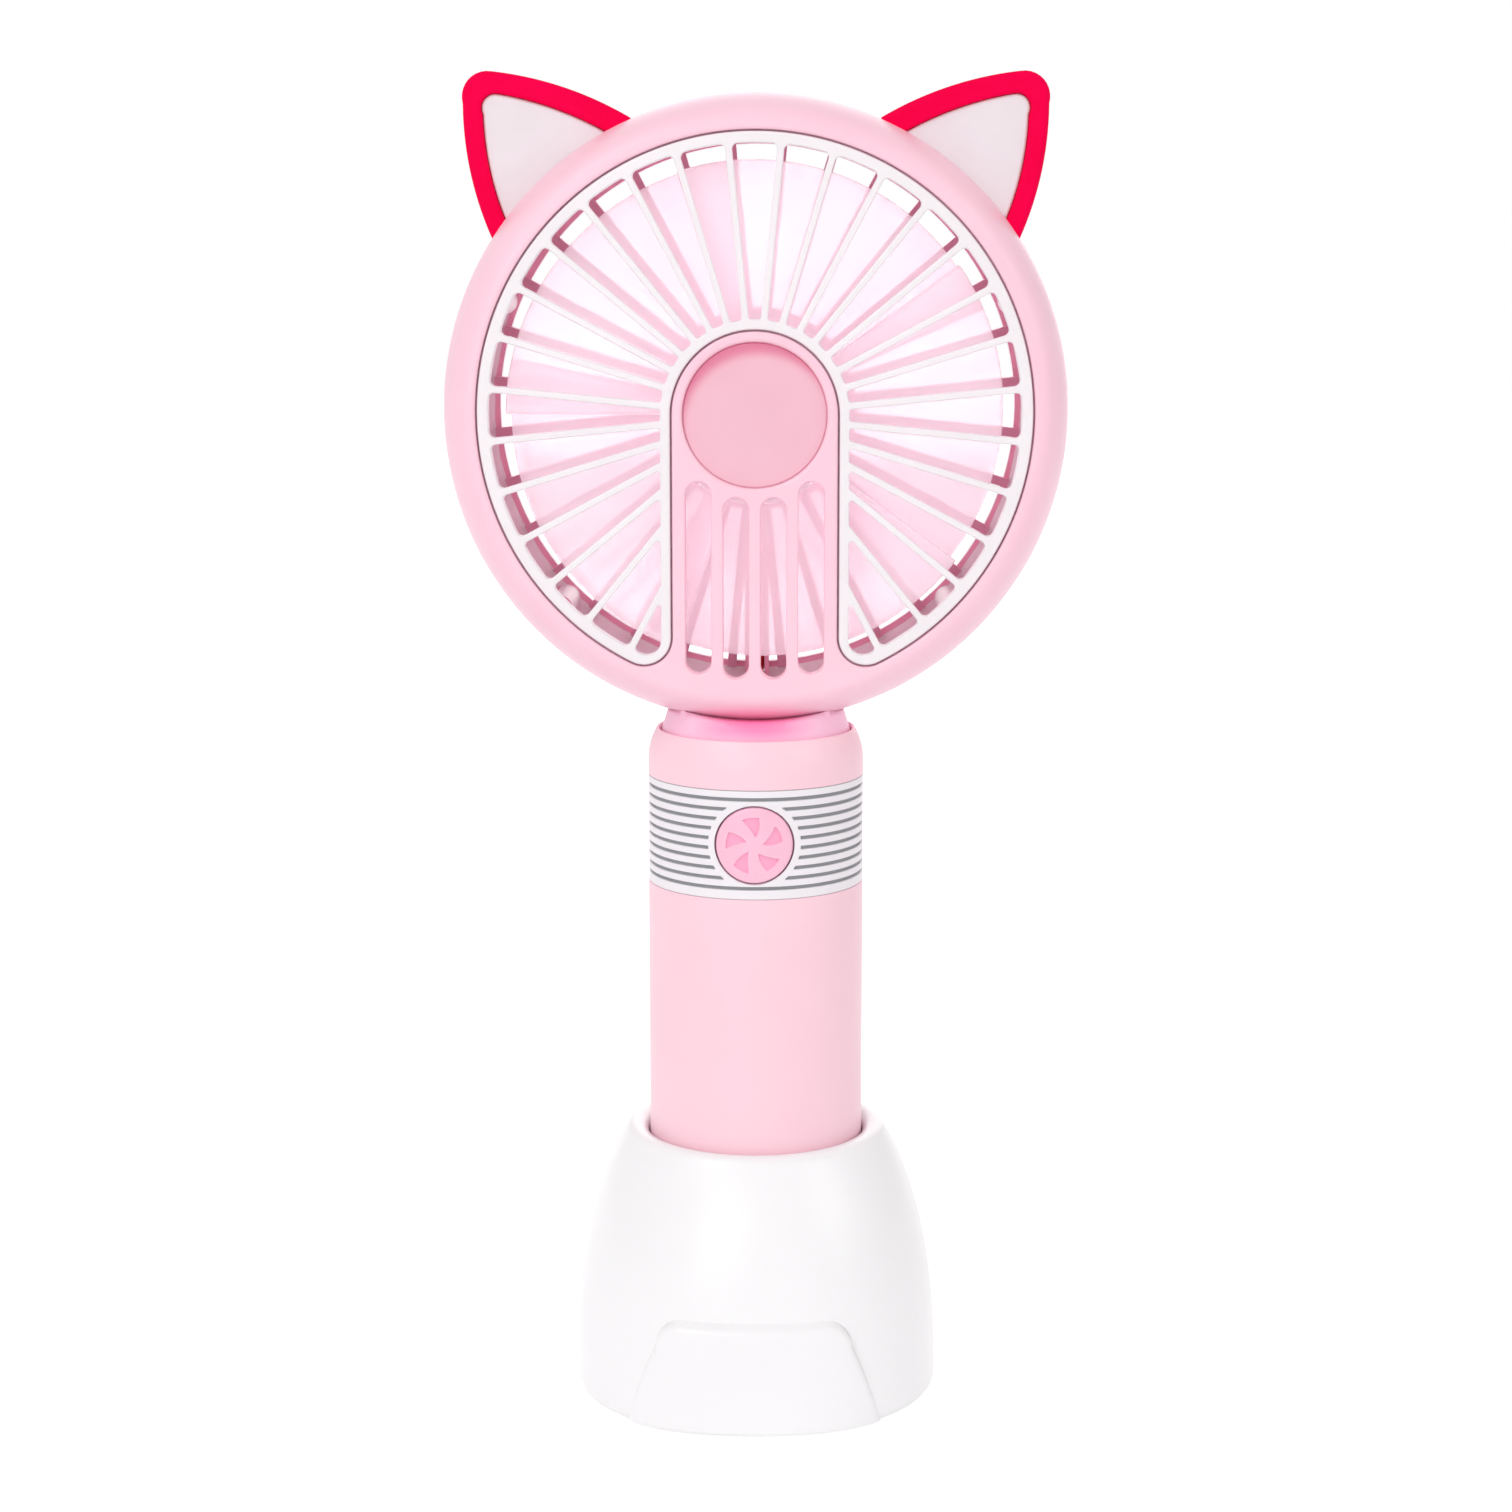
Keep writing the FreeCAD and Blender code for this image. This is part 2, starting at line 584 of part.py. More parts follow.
def chassis():
    """Tray that holds the cell and the board inside the handle."""
    plate_foot = CHASSIS_TOP - CHASSIS_PLATE
    parts = [
        post(CHASSIS_RADIUS, CHASSIS_FOOT, CHASSIS_FOOT + CHASSIS_PLATE),
        post(CHASSIS_RADIUS, plate_foot, CHASSIS_TOP),
    ]
    back = block(-30, 30, 1.0, 30, CHASSIS_FOOT, CHASSIS_TOP)
    wall = sleeve(CHASSIS_RADIUS, CHASSIS_RADIUS - CHASSIS_WALL, CHASSIS_FOOT, CHASSIS_TOP)
    parts.append(wall.common(back))
    for share in (0.2, 0.5, 0.8):
        z = CELL_FOOT + share * CELL_LENGTH
        parts.append(sleeve(CHASSIS_RADIUS - 0.2, CELL_RADIUS + SLIP, z - 0.8, z + 0.8).common(back))
    for x in (-POST_X, POST_X):
        parts.append(post(2.2, CHASSIS_TOP - 0.5, NECK_FOOT, x, POST_Y))
    for x, y in board_screw_places():
        parts.append(post(2.0, CHASSIS_TOP - 0.5, BOARD_FOOT, x, y))
    tray = parts[0].fuse(parts[1:])
    tray = tray.cut(flat_front())
    for x in (-POST_X, POST_X):
        tray = tray.cut(post(M2_SHANK + SCREW_BITE, NECK_FOOT - 7, NECK_FOOT + 1, x, POST_Y))
    for x, y in board_screw_places():
        tray = tray.cut(post(M2_SHANK + SCREW_BITE, plate_foot - 1, BOARD_FOOT + 1, x, y))
    tray = tray.cut(post(M2_SHANK + SCREW_BITE, CHASSIS_FOOT - 1, CHASSIS_FOOT + CHASSIS_PLATE + 1))
    tray = tray.cut(post(1.6, plate_foot - 1, CHASSIS_TOP + 1))
    lead_foot = CHASSIS_FOOT + CHASSIS_PLATE
    return tray.cut(post(LEAD_RADIUS + SLIP, lead_foot, CHASSIS_TOP + 1, *cell_lead_place()))


def chassis_screws():
    seat = NECK_FOOT + 2.0
    return Part.Compound([screw(8.0, (x, POST_Y, seat), (0, 0, -1)) for x in (-POST_X, POST_X)])


def battery_cell():
    body = post(CELL_RADIUS, CELL_FOOT, CELL_TOP - 1.0)
    return body.fuse(post(3.4, CELL_TOP - 1.0, CELL_TOP))


def battery_positive_contact():
    plate = post(3.4, CELL_TOP, CELL_TOP + 0.5)
    return plate.fuse(post(1.3, CELL_TOP + 0.5, BOARD_FOOT))


def battery_negative_spring():
    foot = CHASSIS_FOOT + CHASSIS_PLATE
    plate = post(6.0, foot, foot + 0.4).cut(post(M2_SHANK + 0.4, foot - 1, foot + 1))
    height = CELL_FOOT - foot - 0.4 - 0.62
    helix = Part.makeHelix(height / 2.5, height, 3.6)
    wire = Part.Wire([Part.Circle(V(3.6, 0, 0), V(0, 1, 0), 0.3).toShape()])
    coil = Part.Wire(helix).makePipeShell([wire], True, True)
    coil.translate(V(0, 0, foot + 0.4 + 0.29))
    return plate.fuse(coil)


def cell_lead_place():
    return -CELL_RADIUS - 1.9, -2.0


def battery_lead():
    """Lead from the negative plate, up beside the cell, to the board."""
    x, y = cell_lead_place()
    z = CHASSIS_FOOT + CHASSIS_PLATE + LEAD_RADIUS
    return pipe([(-6.4, y, z), (x, y, z), (x, y, BOARD_FOOT)], LEAD_RADIUS, 2.0)


def control_board():
    board = post(BOARD_RADIUS, BOARD_FOOT, BOARD_TOP).cut(flat_front())
    for x in (-POST_X, POST_X):
        board = board.cut(post(2.5, BOARD_FOOT - 1, BOARD_TOP + 1, x, POST_Y))
    for x, y in board_screw_places():
        board = board.cut(post(M2_SHANK + SLIP, BOARD_FOOT - 1, BOARD_TOP + 1, x, y))
    chips = [
        block(-2.5, 2.5, -3.5, 1.5, BOARD_TOP, BOARD_TOP + 1.6),
        block(-7.5, -5.0, 0.5, 4.5, BOARD_TOP, BOARD_TOP + 2.2),
        block(4.8, 7.2, 0.0, 3.0, BOARD_TOP, BOARD_TOP + 1.2),
    ]
    return board.fuse(chips)


def board_screws():
    return Part.Compound([screw(4.2, (x, y, BOARD_TOP), (0, 0, -1)) for x, y in board_screw_places()])


def usb_socket():
    mouth = TUBE_BORE + 0.3
    half = USB_WIDTH / 2
    outer = block(-half, half, mouth - USB_DEPTH, mouth, BOARD_TOP, BOARD_TOP + USB_HEIGHT)
    outer = outer.makeFillet(1.4, along_y(outer))
    skin = 0.35
    sill, head = BOARD_TOP + skin, BOARD_TOP + USB_HEIGHT - skin
    inner = block(-half + skin, half - skin, mouth - USB_DEPTH + 1.5, mouth + 1, sill, head)
    inner = inner.makeFillet(1.1, along_y(inner))
    middle = BOARD_TOP + USB_HEIGHT / 2
    tongue = block(-3.3, 3.3, mouth - USB_DEPTH + 1, mouth - 1.0, middle - 0.35, middle + 0.35)
    return outer.cut(inner).fuse(tongue)


def charge_lamp():
    """Clear plug that carries the board's lamp to the outside of the band."""
    at = BOARD_TOP + LAMP_RADIUS
    end = math.sqrt(HANDLE_RADIUS**2 - LAMP_OFFSET**2) - 0.5
    return disc(LAMP_RADIUS, end - 5.2, end, x=LAMP_OFFSET, z=at)


# ---- power button ----
def power_button():
    face = disc(BUTTON_RADIUS, -HANDLE_RADIUS - 2, FLANGE_BACK - FLANGE_THICK / 2, z=BUTTON_Z)
    z0, z1 = BUTTON_Z - 2 * BUTTON_RADIUS, BUTTON_Z + 2 * BUTTON_RADIUS
    face = face.common(post(HANDLE_RADIUS + BUTTON_PROUD, z0, z1))
    flange = disc(FLANGE_RADIUS, FLANGE_BACK - FLANGE_THICK, FLANGE_BACK, z=BUTTON_Z)
    stem = disc(STEM_RADIUS, FLANGE_BACK, STEM_END, z=BUTTON_Z)
    return face.fuse([flange, stem])


def switch_plunger():
    return disc(PLUNGER_RADIUS, PLUNGER_END, SWITCH_FRONT + BUTTON_TRAVEL, z=BUTTON_Z)


def tact_switch():
    half = SWITCH_WIDTH / 2
    back = SWITCH_FRONT + SWITCH_DEPTH
    body = block(-half, half, SWITCH_FRONT, back, BOARD_TOP, BOARD_TOP + SWITCH_HEIGHT)
    bore_end = SWITCH_FRONT + 2 * BUTTON_TRAVEL + 0.3
    return body.cut(disc(PLUNGER_RADIUS + SLIP, SWITCH_FRONT - 1, bore_end, z=BUTTON_Z))


# ---- head covers ----
def arch_prism(half, y0, y1, foot):
    """Bridge outline: a half circle on the head's centre, with straight sides down to foot."""
    z = HEAD_Z
    edges = [
        arc(V(-half, 0, z), V(0, 0, z + half), V(half, 0, z)),
        line(V(half, 0, z), V(half, 0, foot)),
        line(V(half, 0, foot), V(-half, 0, foot)),
        line(V(-half, 0, foot), V(-half, 0, z)),
    ]
    return prism(edges, y0, y1)


def horseshoe(inset, y0, y1):
    """The front opening round the bridge, its outline moved in by inset."""
    ring = disc(OPENING_RADIUS - inset, y0, y1)
    shape = ring.cut(arch_prism(BRIDGE_HALF + inset, y0 - 1, y1 + 1, HEAD_Z - 2 * HEAD_RADIUS))
    low = HEAD_Z - OPENING_RADIUS / 2
    corners = [e for e in along_y(shape) if e.BoundBox.ZMax < low]
    return shape.makeFillet(BRIDGE_CORNER - inset, corners)


def slot_prism(x, crown, foot):
    r = SLOT_WIDTH / 2
    top, low = HEAD_Z - crown - r, HEAD_Z - foot + r
    edges = [
        arc(V(x - r, 0, top), V(x, 0, top + r), V(x + r, 0, top)),
        line(V(x + r, 0, top), V(x + r, 0, low)),
        arc(V(x + r, 0, low), V(x, 0, low - r), V(x - r, 0, low)),
        line(V(x - r, 0, low), V(x - r, 0, top)),
    ]
    return prism(edges, -FRONT_DEPTH - 2, 0)


def vent_slots():
    slots = []
    for side in (-1, 1):
        slots.append(slot_prism(side * SLOT_PITCH / 2, SLOT_CROWN, SLOT_FOOT))
        slots.append(slot_prism(side * SLOT_PITCH * 1.5, SLOT_CROWN_OUTER, SLOT_FOOT_OUTER))
    return slots


def cover_screw_places():
    return [polar(COVER_SCREW_CIRCLE, angle) for angle in (67.5, 135.0, 225.0, 292.5)]


def tab(side, grow=0.0):
    """Ear's tab, clamped between the two covers."""
    half = TAB_WIDTH / 2 + grow
    depth = TAB_THICK / 2 + grow
    crown = HEAD_Z + HEAD_RADIUS
    shape = block(-half, half, PARTING - depth, PARTING + depth, crown - TAB_INSET - grow, crown + 0.8)
    return around_head(shape, side * EAR_ANGLE)


def front_cover():
    """Pink ring and bridge, one moulding."""
    outside = roll(HEAD_RADIUS, OPENING_RADIUS, 0, -FRONT_DEPTH).fuse(disc(HEAD_RADIUS, 0, PARTING))
    hollow = roll(HEAD_RADIUS - HEAD_WALL, OPENING_RADIUS, 0, SEAT_FACE)
    hollow = hollow.fuse(disc(HEAD_RADIUS - HEAD_WALL, 0, PARTING + 1))
    bosses = [disc(COVER_BOSS_RADIUS, -COVER_BOSS_DEPTH, PARTING, x, z) for x, z in cover_screw_places()]
    seat = disc(OPENING_RADIUS + 2.2, SEAT_FACE, SEAT_FACE + SEAT_THICK)
    seat = seat.cut(horseshoe(SEAT_WIDTH, SEAT_FACE - 1, 0))
    seat = seat.cut(arch_prism(BRIDGE_HALF - 1.2, SEAT_FACE - 1, 0, HEAD_Z - OPENING_RADIUS + 1.2))
    shell = outside.cut(hollow).cut(horseshoe(0, -FRONT_DEPTH - 1, SEAT_FACE))
    shell = shell.fuse([boss.common(outside) for boss in bosses] + [seat.common(outside)])
    shell = shell.cut(disc(HUB_DISC_RADIUS, -FRONT_DEPTH - 1, -FRONT_DEPTH + HUB_RECESS))
    for cut in vent_slots():
        shell = shell.cut(cut)
    for x, z in cover_screw_places():
        shell = shell.cut(disc(M2_SHANK + SCREW_BITE, -COVER_BOSS_DEPTH + 2, PARTING + 1, x, z))
    return shell.cut(tab(1, SLIP)).cut(tab(-1, SLIP))


def hub_disc():
    floor = -FRONT_DEPTH + HUB_RECESS
    return disc(HUB_DISC_RADIUS - SLIP, floor - HUB_DISC_THICK, floor)


def rib(width, y0, y1, r0, r1, degrees):
    return around_head(block(-width / 2, width / 2, y0, y1, HEAD_Z + r0, HEAD_Z + r1), degrees)


def front_rib_angles():
    step = 360.0 / RIB_DIVISIONS
    return [side * (k + 0.5) * step for k in range(RIB_PAIRS) for side in (-1, 1)]


def front_grille():
    """White horseshoe insert: a rim with straight ribs."""
    back = GRILLE_FACE + GRILLE_THICK
    deep = GRILLE_FACE + GRILLE_DEPTH
    rim = horseshoe(SEAM, GRILLE_FACE, back).cut(horseshoe(SEAM + GRILLE_RIM, GRILLE_FACE - 1, back + 1))
    upper = horseshoe(SEAM, GRILLE_FACE, back)
    lower = horseshoe(SEAT_WIDTH + SEAM, back, deep)
    bars = [rib(FRONT_RIB, GRILLE_FACE, deep, BRIDGE_HALF, OPENING_RADIUS, a) for a in front_rib_angles()]
    ribs = Part.Compound(bars)
    pieces = ribs.common(upper).Solids + ribs.common(lower).Solids
    return rim.fuse(pieces).removeSplitter()


def duct_foot():
    """Lowest level of the leads' duct, just inside the ring's wall."""
    return HEAD_Z - HEAD_RADIUS + HEAD_WALL + 2.6


def rear_lip():
    """Ring that centres the rear cover in the front one, clear of its screw bosses."""
    outer = HEAD_RADIUS - HEAD_WALL
    lip = disc(outer - SLIP, PARTING - LIP_DEPTH, REAR_FLAT + 1).fuse(disc(outer, PARTING, REAR_FLAT + 1))
    lip = lip.cut(disc(outer - SLIP - LIP_THICK, PARTING - LIP_DEPTH - 1, REAR_FLAT + 2))
    return lip.cut([disc(COVER_BOSS_RADIUS + SEAM, -5, PARTING, x, z) for x, z in cover_screw_places()])


def rear_ribs():
    step = 360.0 / RIB_DIVISIONS
    root, tip = CUP_RADIUS - CUP_WALL / 2, REAR_OPENING_RADIUS + 0.8
    turns = [(k + 0.5) * step for k in range(RIB_DIVISIONS)]
    return [rib(REAR_RIB, REAR_RIB_FRONT, REAR_RIB_BACK, root, tip, turn) for turn in turns]


def duct_cuts():
    """The leads' way in through the ring, along the duct and through the cup's wall, and the lid's bed."""
    half = DUCT_GROOVE_HALF
    cup_foot = HEAD_Z - CUP_RADIUS
    bed = DUCT_HALF + SLIP
    return [
        block(-half, half, DUCT_FLOOR, DUCT_BACK + 1, duct_foot() + 0.8, cup_foot),
        block(-half, half, DUCT_FLOOR, CUP_INNER_BACK, cup_foot - 1, cup_foot + CUP_WALL + 0.5),
        block(-half, half, LEAD_Y, DUCT_FLOOR + 1, duct_foot() - 0.4, lead_level() + LEAD_BEND + 1.2),
        block(-bed, bed, DUCT_BACK, REAR_DEPTH + 1, duct_lid_foot() - SLIP, duct_lid_top() + SLIP),
    ]


def rear_cover():
    """Pink rear ring, ribs, motor cup and the duct for the motor's leads."""
    outside = disc(HEAD_RADIUS, PARTING, REAR_FLAT)
    outside = outside.fuse(roll(HEAD_RADIUS, REAR_EDGE_RADIUS, REAR_FLAT, REAR_DEPTH))
    inner = HEAD_RADIUS - HEAD_WALL
    hollow = disc(inner, PARTING - 1, REAR_FLAT)
    hollow = hollow.fuse(roll(inner, REAR_EDGE_RADIUS, REAR_FLAT, REAR_DEPTH - HEAD_WALL))
    shell = outside.cut(hollow).cut(disc(REAR_OPENING_RADIUS, REAR_DEPTH - 5, REAR_DEPTH + 1))
    wall_foot = HEAD_Z - HEAD_RADIUS
    duct_top = HEAD_Z - CUP_RADIUS + CUP_WALL / 2
    duct = block(-DUCT_HALF, DUCT_HALF, REAR_RIB_FRONT, DUCT_BACK, duct_foot(), duct_top)
    bosses = [disc(COVER_BOSS_RADIUS, PARTING, REAR_DEPTH, x, z) for x, z in cover_screw_places()]
    bosses += [post(2.2, wall_foot, wall_foot + 6.0, x, y) for x, y in neck_screw_places()]
    inside = [piece.common(outside) for piece in bosses + [duct]]
    cover = shell.fuse([rear_lip(), disc(CUP_RADIUS, CUP_FRONT, REAR_DEPTH)] + inside + rear_ribs())
    cover = cover.cut(disc(CUP_RADIUS - CUP_WALL, CUP_FRONT - 1, CUP_INNER_BACK))
    cover = cover.fuse([disc(1.5, CUP_FRONT, CUP_INNER_BACK + 0.5, x, z) for x, z in mount_screw_places()])
    holes = [disc(1.5, CUP_INNER_BACK - 1, REAR_DEPTH + 1, *polar(8.5, 60 * k)) for k in range(6)]
    for x, z in mount_screw_places():
        holes.append(disc(SMALL_SHANK + SCREW_BITE, CUP_FRONT - 1, CUP_FRONT + 6, x, z))
    for x, z in cover_screw_places():
        holes.append(disc(M2_SHANK + SLIP, PARTING - 1, REAR_DEPTH + 1, x, z))
        holes.append(disc(M2_HEAD + SLIP, REAR_DEPTH - COVER_SCREW_SINK, REAR_DEPTH + 1, x, z))
    for x, y in neck_screw_places():
        holes.append(post(M2_SHANK + SCREW_BITE, wall_foot - 1, wall_foot + 5.5, x, y))
    holes.append(post(LEAD_HOLE_RADIUS, wall_foot - 1, wall_foot + 3, 0, LEAD_Y))
    return cover.cut(holes + duct_cuts() + [tab(1, SLIP), tab(-1, SLIP)])


def duct_lid_foot():
    return HEAD_Z - REAR_OPENING_RADIUS - 0.9


def duct_lid_top():
    return HEAD_Z - CUP_RADIUS + 0.4


def wire_cover():
    """Snap lid of the leads' duct."""
    lid = block(-DUCT_HALF, DUCT_HALF, DUCT_BACK, DUCT_BACK + DUCT_LID, duct_lid_foot(), duct_lid_top())
    return lid.cut(disc(CUP_RADIUS, DUCT_BACK - 1, REAR_DEPTH + 1))


def cover_screws():
    seat = REAR_DEPTH - COVER_SCREW_SINK
    return Part.Compound([screw(18.5, (x, seat, z), (0, -1, 0)) for x, z in cover_screw_places()])


# ---- ears ----
def ear_outline(side, foot, flank, shoulder, apex, crest, brow, root, inner):
    """Curved triangle from its foot up the outer side, over the apex and down the top side into the head."""
    x, z = polar(HEAD_RADIUS, EAR_ANGLE)

    def at(p):
        return V(side * (x + p[0]), 0, z + p[1])

    return [
        arc(at(foot), at(flank), at(shoulder)),
        arc(at(shoulder), at(apex), at(crest)),
        arc(at(crest), at(brow), at(root)),
        line(at(root), at(inner)),
        line(at(inner), at(foot)),
    ]


def ear_points(pocket):
    """Outline of the shell, or of the pocket that holds the panel, from the head's edge under the ear."""
    if pocket:
        flank = [(6.7, -8.5), (9.5, 0.6), (10.35, 8.6)]
        return flank + [(9.9, 11.25), (8.0, 11.85), (-0.3, 9.8), (-9.2, 5.9), (-2.6, -3.9)]
    flank = [(8.6, -11.9), (12.45, -0.4), (13.5, 10.3)]
    return flank + [(12.6, 14.0), (9.0, 15.3), (-1.3, 13.2), (-12.8, 8.2), (-2.6, -9.9)]


def ear_shell(side):
    body = prism(ear_outline(side, *ear_points(False)), EAR_FRONT, EAR_BACK)
    pocket = prism(ear_outline(side, *ear_points(True)), EAR_FRONT - 1, EAR_POCKET)
    body = body.cut(pocket).cut(head_solid(0.02))
    body = max(body.Solids, key=lambda s: s.Volume)
    return body.fuse(tab(side))


def ear_panel(side):
    panel = prism(ear_outline(side, *ear_points(True)), EAR_FRONT + PANEL_SINK, EAR_POCKET)
    panel = panel.cut(head_solid(0.02))
    return max(panel.Solids, key=lambda s: s.Volume)


# ---- motor ----
def mount_screw_circle():
    return CUP_RADIUS - CUP_WALL - 1.3


def mount_screw_places():
    return [polar(mount_screw_circle(), angle) for angle in (0.0, 120.0, 240.0)]


def motor_screw_places():
    return [polar(8.0, 90), polar(8.0, 270)]


def motor_mount_plate():
    plate = disc(CUP_RADIUS - CUP_WALL + 0.3, MOUNT_PLATE_FRONT, CUP_FRONT)
    plate = plate.cut(disc(NOSE_RADIUS + SLIP, MOUNT_PLATE_FRONT - 1, CUP_FRONT + 1))
    for x, z in mount_screw_places() + motor_screw_places():
        plate = plate.cut(disc(SMALL_SHANK + SLIP, MOUNT_PLATE_FRONT - 1, CUP_FRONT + 1, x, z))
    return plate


def flat_screw(length, at, direction):
    """Small screw with a low head."""
    way = V(*direction)
    body = Part.makeCylinder(SMALL_SHANK, length, V(*at), way)
    crown = Part.makeCylinder(SMALL_HEAD, SMALL_HEAD_HEIGHT, V(*at) - way * SMALL_HEAD_HEIGHT, way)
    return body.fuse(crown)


def mount_plate_screws():
    places = mount_screw_places()
    return Part.Compound([flat_screw(5.0, (x, MOUNT_PLATE_FRONT, z), (0, 1, 0)) for x, z in places])


def motor_screws():
    places = motor_screw_places()
    return Part.Compound([flat_screw(2.2, (x, MOUNT_PLATE_FRONT, z), (0, 1, 0)) for x, z in places])


def motor_can():
    front = 1.0
    can = disc(MOTOR_RADIUS, CUP_FRONT, MOTOR_BACK)
    can = can.cut(disc(MOTOR_RADIUS - CAN_WALL, CUP_FRONT + front, MOTOR_BACK + 1))
    can = can.fuse(disc(NOSE_RADIUS, MOUNT_PLATE_FRONT, CUP_FRONT + front / 2))
    can = can.cut(disc(BUSH_RADIUS, MOUNT_PLATE_FRONT - 1, CUP_FRONT + 2))
    for x, z in motor_screw_places():
        can = can.cut(disc(SMALL_SHANK + SCREW_BITE, CUP_FRONT - 1, CUP_FRONT + 2, x, z))
    return can


def end_cap_front():
    return MOTOR_BACK - 1.2


def motor_end_cap():
    back = MOTOR_BACK + 0.7
    cap = disc(MOTOR_RADIUS - CAN_WALL - 0.05, end_cap_front(), MOTOR_BACK)
    cap = cap.fuse(disc(NOSE_RADIUS + 0.6, MOTOR_BACK - 0.5, back + 0.6))
    return cap.cut(disc(BUSH_RADIUS, end_cap_front() - 1, back + 2))


def motor_bushes():
    front = disc(BUSH_RADIUS, MOUNT_PLATE_FRONT, MOUNT_PLATE_FRONT + BUSH_LENGTH)
    back = disc(BUSH_RADIUS, end_cap_front(), MOTOR_BACK + 1.3)
    bore = disc(SHAFT_RADIUS + RUN, HUB_FRONT, REAR_DEPTH)
    return Part.Compound([front.cut(bore), back.cut(bore)])


def magnet_radius():
    return MOTOR_RADIUS - CAN_WALL - 0.05


def armature_front():
    return CUP_FRONT + 1.9


def motor_magnets():
    outer = magnet_radius()
    ring = disc(outer, CUP_FRONT + 1.4, end_cap_front() - 0.3).cut(disc(outer - MAGNET_THICK, 0, REAR_DEPTH))
    gap = block(-3.0, 3.0, 0, REAR_DEPTH, HEAD_Z - MOTOR_RADIUS, HEAD_Z + MOTOR_RADIUS)
    return Part.Compound(ring.cut(gap).Solids)


def motor_armature():
    """Three-pole laminated stack with its windings drawn as one lump between the poles."""
    radius = magnet_radius() - MAGNET_THICK - AIR_GAP
    y0 = armature_front()
    stack = disc(radius, y0, y0 + ARMATURE_LENGTH - 1.0)
    for k in range(3):
        gap = block(-0.8, 0.8, y0 - 1, y0 + ARMATURE_LENGTH, HEAD_Z + 0.62 * radius, HEAD_Z + radius + 1)
        stack = stack.cut(around_head(gap, 60 + 120 * k))
    stack = stack.fuse(disc(0.62 * radius, y0 - 0.4, y0 + ARMATURE_LENGTH - 0.6))
    return stack.cut(disc(SHAFT_RADIUS, 0, REAR_DEPTH))


def commutator():
    y0 = armature_front() + ARMATURE_LENGTH - 0.6
    return disc(COMMUTATOR_RADIUS, y0, end_cap_front() - 0.1).cut(disc(SHAFT_RADIUS, 0, REAR_DEPTH))


def motor_shaft():
    return disc(SHAFT_RADIUS, HUB_FRONT + 2.9, MOTOR_BACK + 1.3)


def impeller():
    """Hub cup with wide overlapping blades, each a slice of a screw surface."""
    hub = disc(HUB_RADIUS, HUB_FRONT, HUB_BACK)
    hub = hub.cut(disc(HUB_RADIUS - HUB_WALL, HUB_FRONT + HUB_WALL, HUB_BACK + 1))
    hub = hub.fuse(disc(3.2, HUB_FRONT + HUB_WALL / 2, HUB_BACK - 1.0))
    hub = hub.cut(disc(SHAFT_RADIUS, HUB_FRONT + 2.9, HUB_BACK + 1))
    rise = HUB_BACK - HUB_FRONT - 2 * BLADE_INSET - BLADE_THICK
    root = HUB_RADIUS - HUB_WALL / 2
    helix = Part.makeHelix(rise * 360.0 / BLADE_SPAN, rise, (root + BLADE_RADIUS) / 2)
    half = BLADE_THICK / 2
    corners = [V(root, 0, -half), V(BLADE_RADIUS, 0, -half), V(BLADE_RADIUS, 0, half), V(root, 0, half)]
    profile = Part.makePolygon(corners + corners[:1])
    blade = Part.Wire(helix).makePipeShell([profile], True, True)
    blade.rotate(V(0, 0, 0), V(1, 0, 0), -90)
    blade.translate(V(0, HUB_FRONT + BLADE_INSET + half, HEAD_Z))
    blades = [around_head(blade, 360.0 * k / BLADE_COUNT) for k in range(BLADE_COUNT)]
    return hub.fuse(blades)


# ---- motor leads ----
def lead_level():
    """Height at which the leads turn back inside the ring."""
    return HEAD_Z - HEAD_RADIUS + HEAD_WALL + 4.2


def motor_lead(side):
    x = side * LEAD_PITCH / 2
    end = HEAD_Z - NOSE_RADIUS - 2.6
    turn = lead_level()
    route = [(x, LEAD_Y, BOARD_TOP), (x, LEAD_Y, turn), (x, LEAD_BACK, turn), (x, LEAD_BACK, end)]
    return pipe(route, LEAD_RADIUS, LEAD_BEND)


NODES = {
    "base_shell": base_shell,
    "base_bottom_plate": base_bottom_plate,
    "base_weight": base_weight,
    "base_feet": base_feet,
    "base_screws": base_screws,
    "bottom_cap": bottom_cap,
    "cap_screw": cap_screw,
    "grip_tube": grip_tube,
    "grip_band": grip_band,
    "collar": collar,
    "neck": neck,
    "neck_screws": neck_screws,
    "chassis": chassis,
    "chassis_screws": chassis_screws,
    "battery_cell": battery_cell,
    "battery_positive_contact": battery_positive_contact,
    "battery_negative_spring": battery_negative_spring,
    "battery_lead": battery_lead,
    "control_board": control_board,
    "board_screws": board_screws,
    "usb_socket": usb_socket,
    "charge_lamp": charge_lamp,
    "tact_switch": tact_switch,
    "power_button": power_button,
    "switch_plunger": switch_plunger,
    "front_cover": front_cover,
    "hub_disc": hub_disc,
    "front_grille": front_grille,
    "rear_cover": rear_cover,
    "wire_cover": wire_cover,
    "cover_screws": cover_screws,
    "ear_shell_left": lambda: ear_shell(-1),
    "ear_shell_right": lambda: ear_shell(1),
    "ear_panel_left": lambda: ear_panel(-1),
    "ear_panel_right": lambda: ear_panel(1),
    "motor_can": motor_can,
    "motor_end_cap": motor_end_cap,
    "motor_bushes": motor_bushes,
    "motor_magnets": motor_magnets,
    "motor_mount_plate": motor_mount_plate,
    "motor_screws": motor_screws,
    "mount_plate_screws": mount_plate_screws,
    "motor_lead_red": lambda: motor_lead(1),
    "motor_lead_black": lambda: motor_lead(-1),
    "impeller": impeller,
    "motor_shaft": motor_shaft,
    "motor_armature": motor_armature,
    "commutator": commutator,
}

os.makedirs("parts", exist_ok=True)
for name, make in NODES.items():
    shape = make()
    solids = shape.Solids
    print(f"{name:26s} solids {len(solids)} volume {shape.Volume:10.1f} valid {shape.isValid()}")
    shape.exportStep(f"parts/{name}.step")
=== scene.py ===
import math

